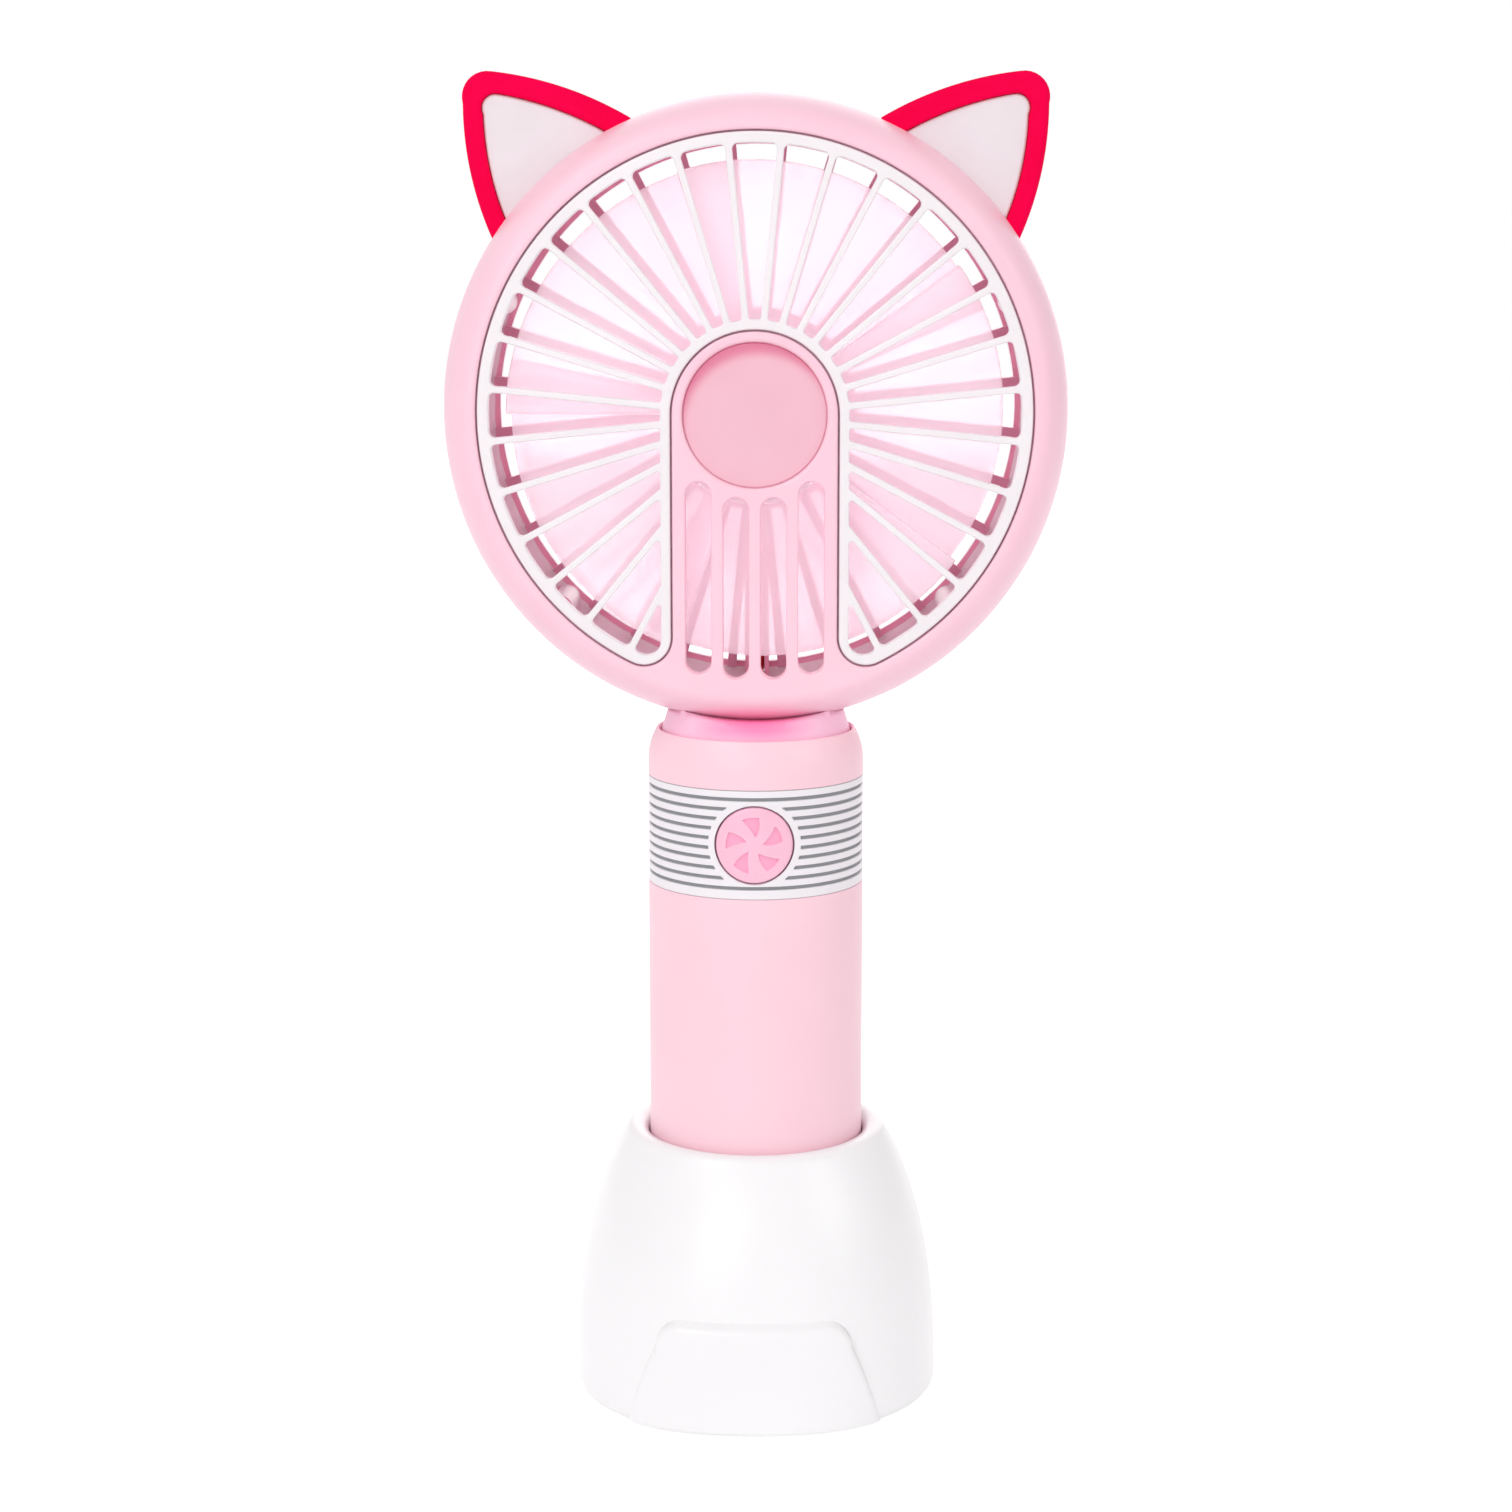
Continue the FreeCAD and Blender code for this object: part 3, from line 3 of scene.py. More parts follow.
import bmesh
import bpy
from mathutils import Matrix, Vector


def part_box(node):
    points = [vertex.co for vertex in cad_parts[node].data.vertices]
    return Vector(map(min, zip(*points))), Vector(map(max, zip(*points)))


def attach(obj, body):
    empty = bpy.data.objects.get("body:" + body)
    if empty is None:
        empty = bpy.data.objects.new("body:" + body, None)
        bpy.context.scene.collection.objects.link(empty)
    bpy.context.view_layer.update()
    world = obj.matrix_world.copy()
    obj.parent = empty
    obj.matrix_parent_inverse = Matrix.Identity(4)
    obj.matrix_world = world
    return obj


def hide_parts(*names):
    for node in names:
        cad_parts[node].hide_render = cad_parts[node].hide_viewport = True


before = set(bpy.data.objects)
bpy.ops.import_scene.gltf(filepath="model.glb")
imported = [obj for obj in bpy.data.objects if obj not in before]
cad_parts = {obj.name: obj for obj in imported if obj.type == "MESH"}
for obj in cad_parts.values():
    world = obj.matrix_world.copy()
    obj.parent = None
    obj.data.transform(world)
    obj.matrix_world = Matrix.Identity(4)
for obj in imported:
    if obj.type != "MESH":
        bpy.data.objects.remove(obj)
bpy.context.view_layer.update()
scene = bpy.context.scene
scene.view_settings.view_transform = "Standard"
mm = 0.001

# ---- Camera ----
# A long lens a little above the middle of the fan, looking slightly down at it.
camera_data = bpy.data.cameras.new("camera")
camera_data.lens = 66.2
camera_data.clip_start = 10 * mm
camera = bpy.data.objects.new("camera", camera_data)
scene.collection.objects.link(camera)
camera.location = (6 * mm, -450 * mm, 183.5 * mm)
camera.rotation_euler = (math.radians(80.14), 0, math.radians(0.76))
scene.camera = camera

# ---- Floor and studio light ----
# A pale matt floor in a bright white tent. Soft boxes stand at the upper left, in front, at the right
# and behind.


def node(tree, kind, inputs=None, **settings):
    """One shader node; an input is a plain value or another node's output."""
    made = tree.nodes.new(kind)
    for key, value in settings.items():
        setattr(made, key, value)
    for key, value in (inputs or {}).items():
        if isinstance(value, bpy.types.NodeSocket):
            tree.links.new(value, made.inputs[key])
        else:
            made.inputs[key].default_value = value
    return made


def swatch(red, green, blue):
    """A colour from a 0-255 swatch card, as a shader takes it."""
    parts = [c / 255 for c in (red, green, blue)]
    return [c / 12.92 if c <= 0.04045 else ((c + 0.055) / 1.055) ** 2.4 for c in parts] + [1.0]


def finish_of(name, light, dark, patch, gloss, grain, depth, tint_and_painted_light=None, **sockets):
    """A surface whose colour drifts from light to dark over patches, with a fine grain in it.
    Where a piece carries a value of the same name as the extra colour, that colour is blended in as far
    as the value goes: a tint in hollows and seams, and on some pieces painted shade, a painted shadow
    and painted light."""
    material = bpy.data.materials.new(name)
    material.use_nodes = True
    tree = material.node_tree
    tree.nodes.clear()
    place = node(tree, "ShaderNodeTexCoord").outputs["Object"]
    drift = node(tree, "ShaderNodeTexNoise", {"Vector": place, "Scale": 1 / patch, "Detail": 3.0})
    tint = node(tree, "ShaderNodeValToRGB", {"Fac": drift.outputs["Fac"]})
    tint.color_ramp.elements[0].position = 0.3
    tint.color_ramp.elements[0].color = swatch(*dark)
    tint.color_ramp.elements[1].position = 0.7
    tint.color_ramp.elements[1].color = swatch(*light)
    colour = tint.outputs["Color"]
    if tint_and_painted_light:
        share = node(tree, "ShaderNodeAttribute", attribute_name="tint_and_painted_light").outputs["Fac"]
        mix = {"Fac": share, "Color1": colour, "Color2": swatch(*tint_and_painted_light)}
        colour = node(tree, "ShaderNodeMixRGB", mix).outputs["Color"]
    fine = node(tree, "ShaderNodeTexNoise", {"Vector": place, "Scale": 1 / grain, "Detail": 2.0})
    level = {"Value": fine.outputs["Fac"], "To Min": gloss - 0.05, "To Max": gloss + 0.05}
    rough = node(tree, "ShaderNodeMapRange", level)
    bump = node(tree, "ShaderNodeBump", {"Height": fine.outputs["Fac"], "Strength": 0.5, "Distance": depth})
    inputs = {
        "Base Color": colour,
        "Roughness": rough.outputs["Result"],
        "Normal": bump.outputs["Normal"],
    }
    inputs.update({key.replace("_", " "): value for key, value in sockets.items()})
    shader = node(tree, "ShaderNodeBsdfPrincipled", inputs)
    node(tree, "ShaderNodeOutputMaterial", {"Surface": shader.outputs["BSDF"]})
    return material


def made(name, bm, material, sharp=40.0):
    """Turns a finished bmesh into an object at the origin, smooth but for its real edges."""
    mesh = bpy.data.meshes.new(name)
    bm.to_mesh(mesh)
    bm.free()
    mesh.polygons.foreach_set("use_smooth", [True] * len(mesh.polygons))
    mesh.set_sharp_from_angle(angle=math.radians(sharp))
    mesh.materials.append(material)
    piece = bpy.data.objects.new(name, mesh)
    scene.collection.objects.link(piece)
    return piece


def looked_at(tree, otherwise, straight):
    """Brightness of a backdrop: one value where the eye sees it, also mirrored or through clear
    plastic, and another where it only lights things."""
    rays = node(tree, "ShaderNodeLightPath")
    pair = {0: rays.outputs["Is Camera Ray"], 1: rays.outputs["Is Transmission Ray"]}
    eye = node(tree, "ShaderNodeMath", pair, operation="MAXIMUM")
    pair = {0: eye.outputs["Value"], 1: rays.outputs["Is Glossy Ray"]}
    eye = node(tree, "ShaderNodeMath", pair, operation="MAXIMUM")
    level = {"Value": eye.outputs["Value"], "To Min": otherwise, "To Max": straight}
    return node(tree, "ShaderNodeMapRange", level).outputs["Result"]


floor_radius = 4.0
bm = bmesh.new()
bmesh.ops.create_circle(bm, cap_ends=True, segments=128, radius=floor_radius)
white = (1.0, 1.0, 1.0, 1.0)
floor_finish = finish_of(
    "floor_matt", (250, 249, 250), (248, 247, 248), 200 * mm, 0.85, 2 * mm, 0.0, Emission_Color=white
)
tree = floor_finish.node_tree
tree.links.new(looked_at(tree, 0.0, 0.55), tree.nodes["Principled BSDF"].inputs["Emission Strength"])
floor = made("floor", bm, floor_finish)

world = bpy.data.worlds.new("tent")
world.use_nodes = True
tree = world.node_tree
tree.links.new(looked_at(tree, 0.58, 1.0), tree.nodes["Background"].inputs["Strength"])
tree.nodes["Background"].inputs["Color"].default_value = white
scene.world = world


def lamp(name, at, aim, size, power):
    """Square soft box at a place, turned to its aim."""
    data = bpy.data.lights.new(name, "AREA")
    data.size = size
    data.energy = power
    holder = bpy.data.objects.new(name, data)
    holder.location = at
    holder.rotation_euler = (Vector(aim) - Vector(at)).to_track_quat("-Z", "Y").to_euler()
    scene.collection.objects.link(holder)


lamp("key", (-0.8, -0.8, 1.4), (0, 0, 0.12), 0.7, 6.0)
lamp("front", (-0.5, -1.3, 0.5), (0, 0, 0.14), 0.7, 3.8)
lamp("right", (1.2, -0.7, 0.7), (0, 0, 0.12), 0.7, 3.2)
lamp("back", (0.1, 1.2, 0.5), (0, 0, 0.15), 0.9, 3.0)

# ---- Stand shell ----
# White glossy bell the fan stands in: a thin moulding with a soft rim, a round well for the handle
# and an arched ledge on the front, where a phone can rest. It is screwed to its bottom plate.


def arc_between(a, b, c, steps):
    """Points along the arc from a through b to c, in a plane."""
    a, b, c = Vector(a), Vector(b), Vector(c)
    ab, ac = b - a, c - a
    twice = 2 * (ab.x * ac.y - ab.y * ac.x)
    x = (ac.y * ab.length_squared - ab.y * ac.length_squared) / twice
    y = (ab.x * ac.length_squared - ac.x * ab.length_squared) / twice
    middle = a + Vector((x, y))
    start = math.atan2(a.y - middle.y, a.x - middle.x)
    sweep = math.atan2(c.y - middle.y, c.x - middle.x) - start
    way = 1 if twice > 0 else -1
    sweep = way * ((way * sweep) % (2 * math.pi))
    radius = (a - middle).length
    turns = [start + sweep * i / steps for i in range(steps + 1)]
    return [middle + radius * Vector((math.cos(t), math.sin(t))) for t in turns]


def eased(corners, steps=5):
    """Outline through (across, along, round) corners, each rounded by its own radius."""
    points = []
    count = len(corners)
    for i, (across, along, radius) in enumerate(corners):
        here = Vector((across, along))
        if not radius:
            points.append(here)
            continue
        back = (Vector(corners[i - 1][:2]) - here).normalized()
        ahead = (Vector(corners[(i + 1) % count][:2]) - here).normalized()
        half = back.angle(ahead) / 2
        middle = here + (back + ahead).normalized() * (radius / math.sin(half))
        start = (here + back * (radius / math.tan(half)) - middle).normalized()
        end = (here + ahead * (radius / math.tan(half)) - middle).normalized()
        points += [middle + radius * start.slerp(end, k / steps) for k in range(steps + 1)]
    return points


def lathe(bm, points, axis, centre, sectors, closed=True):
    """Turns an outline of (radius, along) points about an axis; a sector is (degrees, steps)."""
    along = Vector((0, 0, 1)) if axis == "Z" else Vector((0, 1, 0))
    centre = Vector(centre)
    verts = [bm.verts.new(centre + Vector((1, 0, 0)) * r + along * a) for r, a in points]
    pairs = list(zip(verts, verts[1:]))
    if closed:
        pairs.append((verts[-1], verts[0]))
    geometry = verts + [bm.edges.new(pair) for pair in pairs]
    for degrees, steps in sectors:
        result = bmesh.ops.spin(
            bm,
            geom=geometry,
            cent=centre,
            axis=along,
            angle=math.radians(degrees),
            steps=steps,
        )
        geometry = result["geom_last"]
    bmesh.ops.remove_doubles(bm, verts=bm.verts[:], dist=1e-6)
    loose = [e for e in bm.edges if not e.link_faces]
    bmesh.ops.delete(bm, geom=loose, context="EDGES")
    bmesh.ops.recalc_face_normals(bm, faces=bm.faces[:])


stand_low, stand_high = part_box("base_shell")
grip_low, grip_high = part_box("grip_tube")
handle_radius = grip_high[0]
bell_height = stand_high[2]
bell_foot = stand_low[2]
bell_half = stand_high[0]
bell_power = 2.3
bell_square = 2.4
well_radius = handle_radius + 0.3 * mm
rim_radius = well_radius + 3.0 * mm
rim_crest = 1.2 * mm
well_floor = 11.0 * mm
shell_wall = 2.2 * mm
ledge_top = 18.3 * mm
ledge_flat = 11.5 * mm
ledge_shoulder = (15.5 * mm, 14.0 * mm)
ledge_belly = (18.35 * mm, 7.0 * mm)
ledge_bend = (14.1 * mm, 17.15 * mm)
ledge_foot = 20.2 * mm
ledge_edge = 1.3 * mm
ledge_proud = 0.8 * mm


def bell_radius(z):
    """How wide the bell is at a height."""
    close = (1 - (rim_radius / bell_half) ** bell_power) ** (1 / bell_power)
    return bell_half * (1 - (z * close / bell_height) ** bell_power) ** (1 / bell_power)


def plan_radius(x, y, half_x, half_y, power):
    """Distance from the middle to a rounded-square outline, in the direction of (x, y)."""
    length = math.hypot(x, y)
    return (abs(x / length / half_x) ** power + abs(y / length / half_y) ** power) ** (-1 / power)


shoulder_z = bell_height - rim_crest
fine_top = 20.9 * mm
coarse_foot = 21.0 * mm
rows = [bell_foot + (fine_top - bell_foot) * i / 84 for i in range(4, 85)]
rows += [coarse_foot + (shoulder_z - coarse_foot) * i / 48 for i in range(1, 49)]
inner_foot = bell_half - shell_wall
foot_round = 0.5 * mm
edge = [
    (inner_foot, bell_foot, 0),
    (bell_half - 0.1 * mm, bell_foot, foot_round),
    (bell_half - 0.02 * mm, rows[0], 0),
]
skin = eased(edge)[1:-1] + [Vector((bell_radius(z), z)) for z in rows]
rim_top = (well_radius + 1.55 * mm, bell_height)
rim = arc_between(skin[-1], rim_top, (well_radius, shoulder_z), 14)[1:]
well = [Vector((well_radius, shoulder_z - (shoulder_z - well_floor) * i / 12)) for i in range(1, 13)]
floor_wall = 1.6 * mm
column_wall = 1.8 * mm
roof_wall = 3.0 * mm
floor_under = well_floor - floor_wall
column = well_radius + column_wall
roof = bell_height - roof_wall
inner_rows = (roof - 1 * mm, 32 * mm, 24 * mm, 16 * mm, 8 * mm)
inner = [Vector((bell_radius(z) - shell_wall, z)) for z in inner_rows]
well_bottom = [Vector((0, well_floor)), Vector((0, floor_under)), Vector((column, floor_under))]
profile = skin + rim + well + well_bottom + [Vector((column, roof))]
profile += inner + [Vector((inner_foot, bell_foot))]

bm = bmesh.new()
lathe(bm, profile, "Z", (0, 0, 0), [(215, 86), (110, 230), (35, 14)])
arch = arc_between((ledge_foot, bell_foot), ledge_belly, ledge_shoulder, 14)
arch += arc_between(ledge_shoulder, ledge_bend, (ledge_flat, ledge_top), 8)[1:]
arch.append(Vector((0, ledge_top)))


def inside_ledge(x, z):
    """How far a point is inside the ledge's arched outline; negative outside it."""
    point = Vector((abs(x), z))
    near = 1.0
    width = ledge_foot
    for a, b in zip(arch, arch[1:]):
        share = max(0.0, min(1.0, (point - a).dot(b - a) / (b - a).length_squared))
        near = min(near, (point - a - (b - a) * share).length)
        if a.y <= z < b.y:
            width = a.x + (b.x - a.x) * (z - a.y) / (b.y - a.y)
    return near if point.x < width and z < ledge_top else -near


for v in bm.verts:
    radius = math.hypot(v.co.x, v.co.y)
    if radius < column + 0.2 * mm or v.co.z > shoulder_z + 0.3 * mm:
        continue
    power = 2 + (bell_square - 2) * (1 - v.co.z / bell_height)
    scale = plan_radius(v.co.x, v.co.y, 1.0, 1.0, power)
    on_skin = radius > bell_radius(v.co.z) - shell_wall / 2
    v.co.x *= scale
    v.co.y *= scale
    if on_skin and v.co.y < 0 and abs(v.co.x) < ledge_foot and v.co.z < ledge_top:
        depth = inside_ledge(v.co.x, v.co.z)
        if depth > 0:
            share = math.sqrt(1 - (1 - min(depth / ledge_edge, 1)) ** 2)
            out = plan_radius(v.co.x, v.co.y, bell_half, bell_half + ledge_proud, bell_square)
            push = 1 + share * (out / math.hypot(v.co.x, v.co.y) - 1)
            v.co.x *= push
            v.co.y *= push
stand_white = finish_of("stand_white", (248, 247, 248), (246, 245, 246), 30 * mm, 0.3, 0.6 * mm, 0.004 * mm)
stand_shell = made("stand_shell", bm, stand_white)
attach(stand_shell, "base")
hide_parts("base_shell")

# ---- Grip tube ----
# Pale pink tube that is held in the hand and stands in the well: one satin moulding, open at both ends,
# with the bottom cap pushed into it below and the ribbed band above.

tube_wall = 2.08 * mm
tube_bore = handle_radius - tube_wall
tube_corners = [
    (tube_bore, grip_low[2], 0),
    (handle_radius, grip_low[2], 0.3 * mm),
    (handle_radius, grip_high[2], 0.15 * mm),
    (tube_bore, grip_high[2], 0),
]
bm = bmesh.new()
lathe(bm, eased(tube_corners), "Z", (0, 0, 0), [(360, 256)])
grip_pink = finish_of("grip_pink", (255, 213, 225), (253, 209, 221), 25 * mm, 0.42, 0.5 * mm, 0.004 * mm)
grip = made("grip", bm, grip_pink)
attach(grip, "fan")
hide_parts("grip_tube")

# ---- Ribbed band ----
# White ring between tube and collar, with ten fine grooves turned into it. They stop at a smooth round
# field in front, where the power button comes through; the charging socket opens behind. Painted shade
# greys each groove more the deeper it goes, and a dark line runs along each of the band's two seams.

band_low, band_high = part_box("grip_band")
button_low, button_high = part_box("power_button")
button_z = (button_low[2] + button_high[2]) / 2
socket_low, socket_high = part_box("usb_socket")
lamp_low, lamp_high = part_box("charge_lamp")
band_radius = handle_radius - 0.05 * mm
band_foot = grip_high[2]
band_top = band_high[2]
groove_count = 10
groove_pitch = 1.6 * mm
groove_first = 1.45 * mm
groove_half = 0.2 * mm
groove_depth = 0.42 * mm
groove_slope = 0.12 * mm
field_radius = 7.4 * mm
button_hole = 6.4 * mm
groove_levels = [band_top - groove_first - i * groove_pitch for i in range(groove_count)]

band_edge = 0.15 * mm
plug_wall = 1.1 * mm
plug_radius = tube_bore - 0.1 * mm
groove_inner = 0.12 * mm
half_groove = [groove_half + groove_slope, groove_half, groove_inner]
across_groove = [-offset for offset in half_groove] + half_groove[::-1]
outside = [(band_radius - band_edge, band_foot), (band_radius, band_foot + band_edge)]
for level in reversed(groove_levels):
    outside += [(band_radius, level + offset) for offset in across_groove]
    outside.append((band_radius, level + groove_pitch / 2))
outside[-1] = (band_radius, band_top - band_edge)
outside += [(band_radius - 0.04 * mm, band_top - 0.04 * mm), (band_radius - band_edge, band_top)]
inside = [
    (tube_bore, band_top),
    (tube_bore, band_foot + 0.6 * mm),
    (tube_bore - plug_wall, band_foot + 0.5 * mm),
    (tube_bore - plug_wall, band_low[2]),
    (plug_radius, band_low[2]),
    (plug_radius, band_foot),
]
bm = bmesh.new()
lathe(bm, outside + inside, "Z", (0, 0, 0), [(238, 119), (64, 384), (58, 29)])
for v in bm.verts:
    radius = math.hypot(v.co.x, v.co.y)
    if radius < band_radius - 0.01 * mm:
        continue
    index = round((band_top - groove_first - v.co.z) / groove_pitch)
    if not 0 <= index < groove_count:
        continue
    off = abs(v.co.z - groove_levels[index])
    sink = max(0.0, min(1.0, (groove_half + groove_slope - off) / groove_slope))
    if 0 < index < groove_count - 1 and v.co.y < 0:
        across = math.asin(max(-1.0, min(1.0, v.co.x / band_radius))) * band_radius
        reach = math.hypot(math.sin(across / band_radius) * band_radius, v.co.z - button_z)
        sink = min(sink, max(0.0, min(1.0, (reach - field_radius) / (1.5 * groove_slope))))
    shrink = 1 - sink * groove_depth / radius
    v.co.x *= shrink
    v.co.y *= shrink
band_white = finish_of(
    "band_white", (244, 239, 243), (241, 236, 240), 12 * mm, 0.45, 0.4 * mm, 0.004 * mm, tint_and_painted_light=(150, 152, 156)
)
band = made("band", bm, band_white, 30.0)


def cut_away(piece, bm):
    """Cuts a tool shape out of a piece for good."""
    mesh = bpy.data.meshes.new("tool")
    bm.to_mesh(mesh)
    bm.free()
    tool = bpy.data.objects.new("tool", mesh)
    scene.collection.objects.link(tool)
    cut = piece.modifiers.new("cut", "BOOLEAN")
    cut.operation = "DIFFERENCE"
    cut.solver = "EXACT"
    cut.object = tool
    view = bpy.context.evaluated_depsgraph_get()
    result = bpy.data.meshes.new_from_object(piece.evaluated_get(view))
    piece.modifiers.clear()
    name = piece.data.name
    piece.data.name = "before_cut"
    piece.data = result
    result.name = name
    result.polygons.foreach_set("use_smooth", [True] * len(result.polygons))
    bpy.data.objects.remove(tool)


def rod(bm, radius, axis, centre, low, high, segments=96):
    """Closed round rod along Y or Z, through a centre, from low to high."""
    corners = [(0, low), (radius, low), (radius, high), (0, high)]
    lathe(bm, corners, axis, centre, [(360, segments)], closed=False)


def capsule(x, z, half_x, half_z, round_by):
    """Corners of a rounded oblong in the face plane."""
    left, right = x - half_x, x + half_x
    foot, head = z - half_z, z + half_z
    corners = [(left, foot), (left, head), (right, head), (right, foot)]
    return eased([(a, b, round_by) for a, b in corners], 8)


def bar(bm, points, y0, y1):
    """Closed bar with an outline in the face plane, from y0 to y1."""
    verts = [bm.verts.new((x, y0, z)) for x, z in points]
    face = bm.faces.new(verts)
    moved = bmesh.ops.extrude_face_region(bm, geom=[face])["geom"]
    far = [v for v in moved if isinstance(v, bmesh.types.BMVert)]
    bmesh.ops.translate(bm, verts=far, vec=(0, y1 - y0, 0))
    if not any(set(f.verts) == set(verts) for f in verts[0].link_faces):
        bm.faces.new(reversed(verts))
    bmesh.ops.recalc_face_normals(bm, faces=bm.faces[:])


bm = bmesh.new()
rod(bm, button_hole, "Y", (0, 0, button_z), -2 * handle_radius, 0, 128)
socket_z = (socket_low[2] + socket_high[2]) / 2
half_z = (socket_high[2] - socket_low[2]) / 2 + 0.3 * mm
bar(bm, capsule(0, socket_z, socket_high[0] + 0.3 * mm, half_z, half_z - 0.05 * mm), 0, 2 * handle_radius)
lamp_at = ((lamp_low[0] + lamp_high[0]) / 2, 0, (lamp_low[2] + lamp_high[2]) / 2)
rod(bm, (lamp_high[0] - lamp_low[0]) / 2 + 0.1 * mm, "Y", lamp_at, 0, 2 * handle_radius, 40)
cut_away(band, bm)
# Painted shade: the grooves grey more the deeper they go; a dark line runs along each seam.
tint_and_painted_light = band.data.attributes.new("tint_and_painted_light", "FLOAT", "POINT")
hair = 0.05 * mm
for v, mark in zip(band.data.vertices, tint_and_painted_light.data):
    low = band_radius - math.hypot(v.co.x, v.co.y)
    inset = min(v.co.z - band_foot, band_top - v.co.z)
    if low < band_edge + hair and abs(inset) < hair:
        mark.value = 1.0
    elif inset > 2 * band_edge and hair < low < groove_depth + hair:
        mark.value = low / groove_depth
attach(band, "fan")
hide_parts("grip_band")

# ---- Power button ----
# Round pink push button that follows the handle's curve, with a small fan of five curved hollows
# pressed into its face. A flange behind the band keeps it in.

button_radius = 6.1 * mm
button_face = handle_radius + 0.15 * mm
hollow_count = 5
hollow_outer = 4.6 * mm
hollow_inner = 1.35 * mm
hollow_half = 1.45 * mm
hollow_lean = math.radians(16)
hollow_start = math.radians(-8)
hollow_depth = 0.4 * mm
hollow_edge = 0.22 * mm
button_back = button_high[1]
rings = [i * 0.1 * mm for i in range(58)]
face_line = [(r, 0) for r in rings]
face_line += [(5.82 * mm, 0.02 * mm), (5.96 * mm, 0.09 * mm)]
face_line += [(6.06 * mm, 0.2 * mm), (button_radius, 0.36 * mm)]
flange_radius = 7.3 * mm
stem_radius = 2.0 * mm
flange_front = button_low[1] + 3.3 * mm
flange_back = flange_front + 1.0 * mm
outline = [(r, button_low[1] + depth) for r, depth in face_line]
outline += [(button_radius, flange_front), (flange_radius, flange_front), (flange_radius, flange_back)]
outline += [(stem_radius, flange_back), (stem_radius, button_back), (0, button_back)]
bm = bmesh.new()
lathe(bm, outline, "Y", (0, 0, button_z), [(360, 360)], closed=False)
tint_and_painted_light = bm.verts.layers.float.new("tint_and_painted_light")
for v in bm.verts:
    across, up = v.co.x, v.co.z - button_z
    radius = math.hypot(across, up)
    if v.co.y > button_low[1] + 0.5 * mm:
        continue
    v.co.y += button_face - math.sqrt(button_face**2 - across**2)
    if not hollow_inner < radius < hollow_outer:
        continue
    turn = math.atan2(across, up)
    share = (radius - hollow_inner) / (hollow_outer - hollow_inner)
    middle = hollow_start + hollow_lean * (1 - share)
    step = 2 * math.pi / hollow_count
    off = (turn - middle + step / 2) % step - step / 2
    room = min(hollow_half * share**0.8 - abs(radius * math.sin(off)), hollow_outer - radius)
    if room > 0:
        t = min(1.0, room / hollow_edge)
        v[tint_and_painted_light] = t * t * (3 - 2 * t)
        v.co.y += hollow_depth * v[tint_and_painted_light]
button_pink = finish_of(
    "button_pink", (252, 196, 217), (250, 190, 212), 4 * mm, 0.4, 0.3 * mm, 0.003 * mm, tint_and_painted_light=(253, 172, 204)
)
button = made("button_cap", bm, button_pink, 50.0)
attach(button, "button")
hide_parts("power_button")

# ---- Collar ----
# Pale pink ring that closes the handle: straight at its foot, then rolled in to a thin rim
# round the neck.

collar_low, collar_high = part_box("collar")
collar_top = collar_high[2]
collar_foot = collar_low[2]
collar_rim = handle_radius - 1.4 * mm
collar_rise = collar_top - collar_foot
side = arc_between(
    (handle_radius - 0.04 * mm, collar_foot + 0.25 * collar_rise),
    (handle_radius - 0.42 * mm, collar_foot + 0.68 * collar_rise),
    (collar_rim, collar_top - 0.15 * mm),
    24,
)
lip = arc_between(
    (collar_rim, collar_top - 0.15 * mm),
    (collar_rim - 0.2 * mm, collar_top),
    (collar_rim - 0.45 * mm, collar_top - 0.12 * mm),
    6,
)
chamfer = [(handle_radius - 0.12 * mm, collar_foot), (handle_radius - 0.02 * mm, collar_foot + 0.1 * mm)]
outline = chamfer + side + lip[1:]
outline += [(tube_bore, collar_top - 0.5 * mm), (tube_bore, collar_foot)]
bm = bmesh.new()
lathe(bm, outline, "Z", (0, 0, 0), [(360, 256)])
collar = made("collar_ring", bm, grip_pink)
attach(collar, "fan")
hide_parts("collar")

# ---- Neck ----
# Deeper pink saddle that carries the head: a tapered plug in the collar, hollowed on top
# to the round of the head it is screwed to. Painted shade makes it deepest pink in the crease right
# under the head.

head_low, head_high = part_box("front_cover")
head_z = (head_low[2] + head_high[2]) / 2
head_radius = head_high[0]
front_y = head_low[1]
neck_radius = tube_bore - 0.1 * mm
neck_taper = 0.33
neck_reach = 8.0 * mm
neck_foot = collar_top - 5.0 * mm
neck_start = 0.6 * mm
taper_foot = collar_top - neck_start
outline = [(0, neck_foot), (neck_radius, neck_foot), (neck_radius, taper_foot)]
for i in range(1, 9):
    narrowed = neck_radius - neck_taper * neck_reach * i / 8
    outline.append((narrowed, taper_foot + (neck_reach + neck_start) * i / 8))
outline.append((0, collar_top + neck_reach))
bm = bmesh.new()
lathe(bm, outline, "Z", (0, 0, 0), [(360, 192)], closed=False)
neck_pink = finish_of(
    "neck_pink", (255, 204, 227), (254, 199, 224), 12 * mm, 0.42, 0.4 * mm, 0.004 * mm, tint_and_painted_light=(255, 138, 190)
)
neck = made("neck_saddle", bm, neck_pink)
bm = bmesh.new()
saddle_lap = 1.2 * mm
rod(bm, head_radius - saddle_lap, "Y", (0, 0, head_z), -2 * neck_radius, 2 * neck_radius, 512)
cut_away(neck, bm)
saddle_fit = 0.1 * mm
front_flat = 43.9 * mm
front_roll = 6.2 * mm
rear_flat = 44.1 * mm
rear_roll = 6.0 * mm
rear_start = 4.0 * mm
rear_depth = 16.1 * mm
roll = [math.pi / 2 * i / 20 for i in range(21)]
dome = [(0, front_y - saddle_fit)]
dome += [(front_flat + front_roll * math.sin(t), (front_y - saddle_fit) * math.cos(t)) for t in roll]
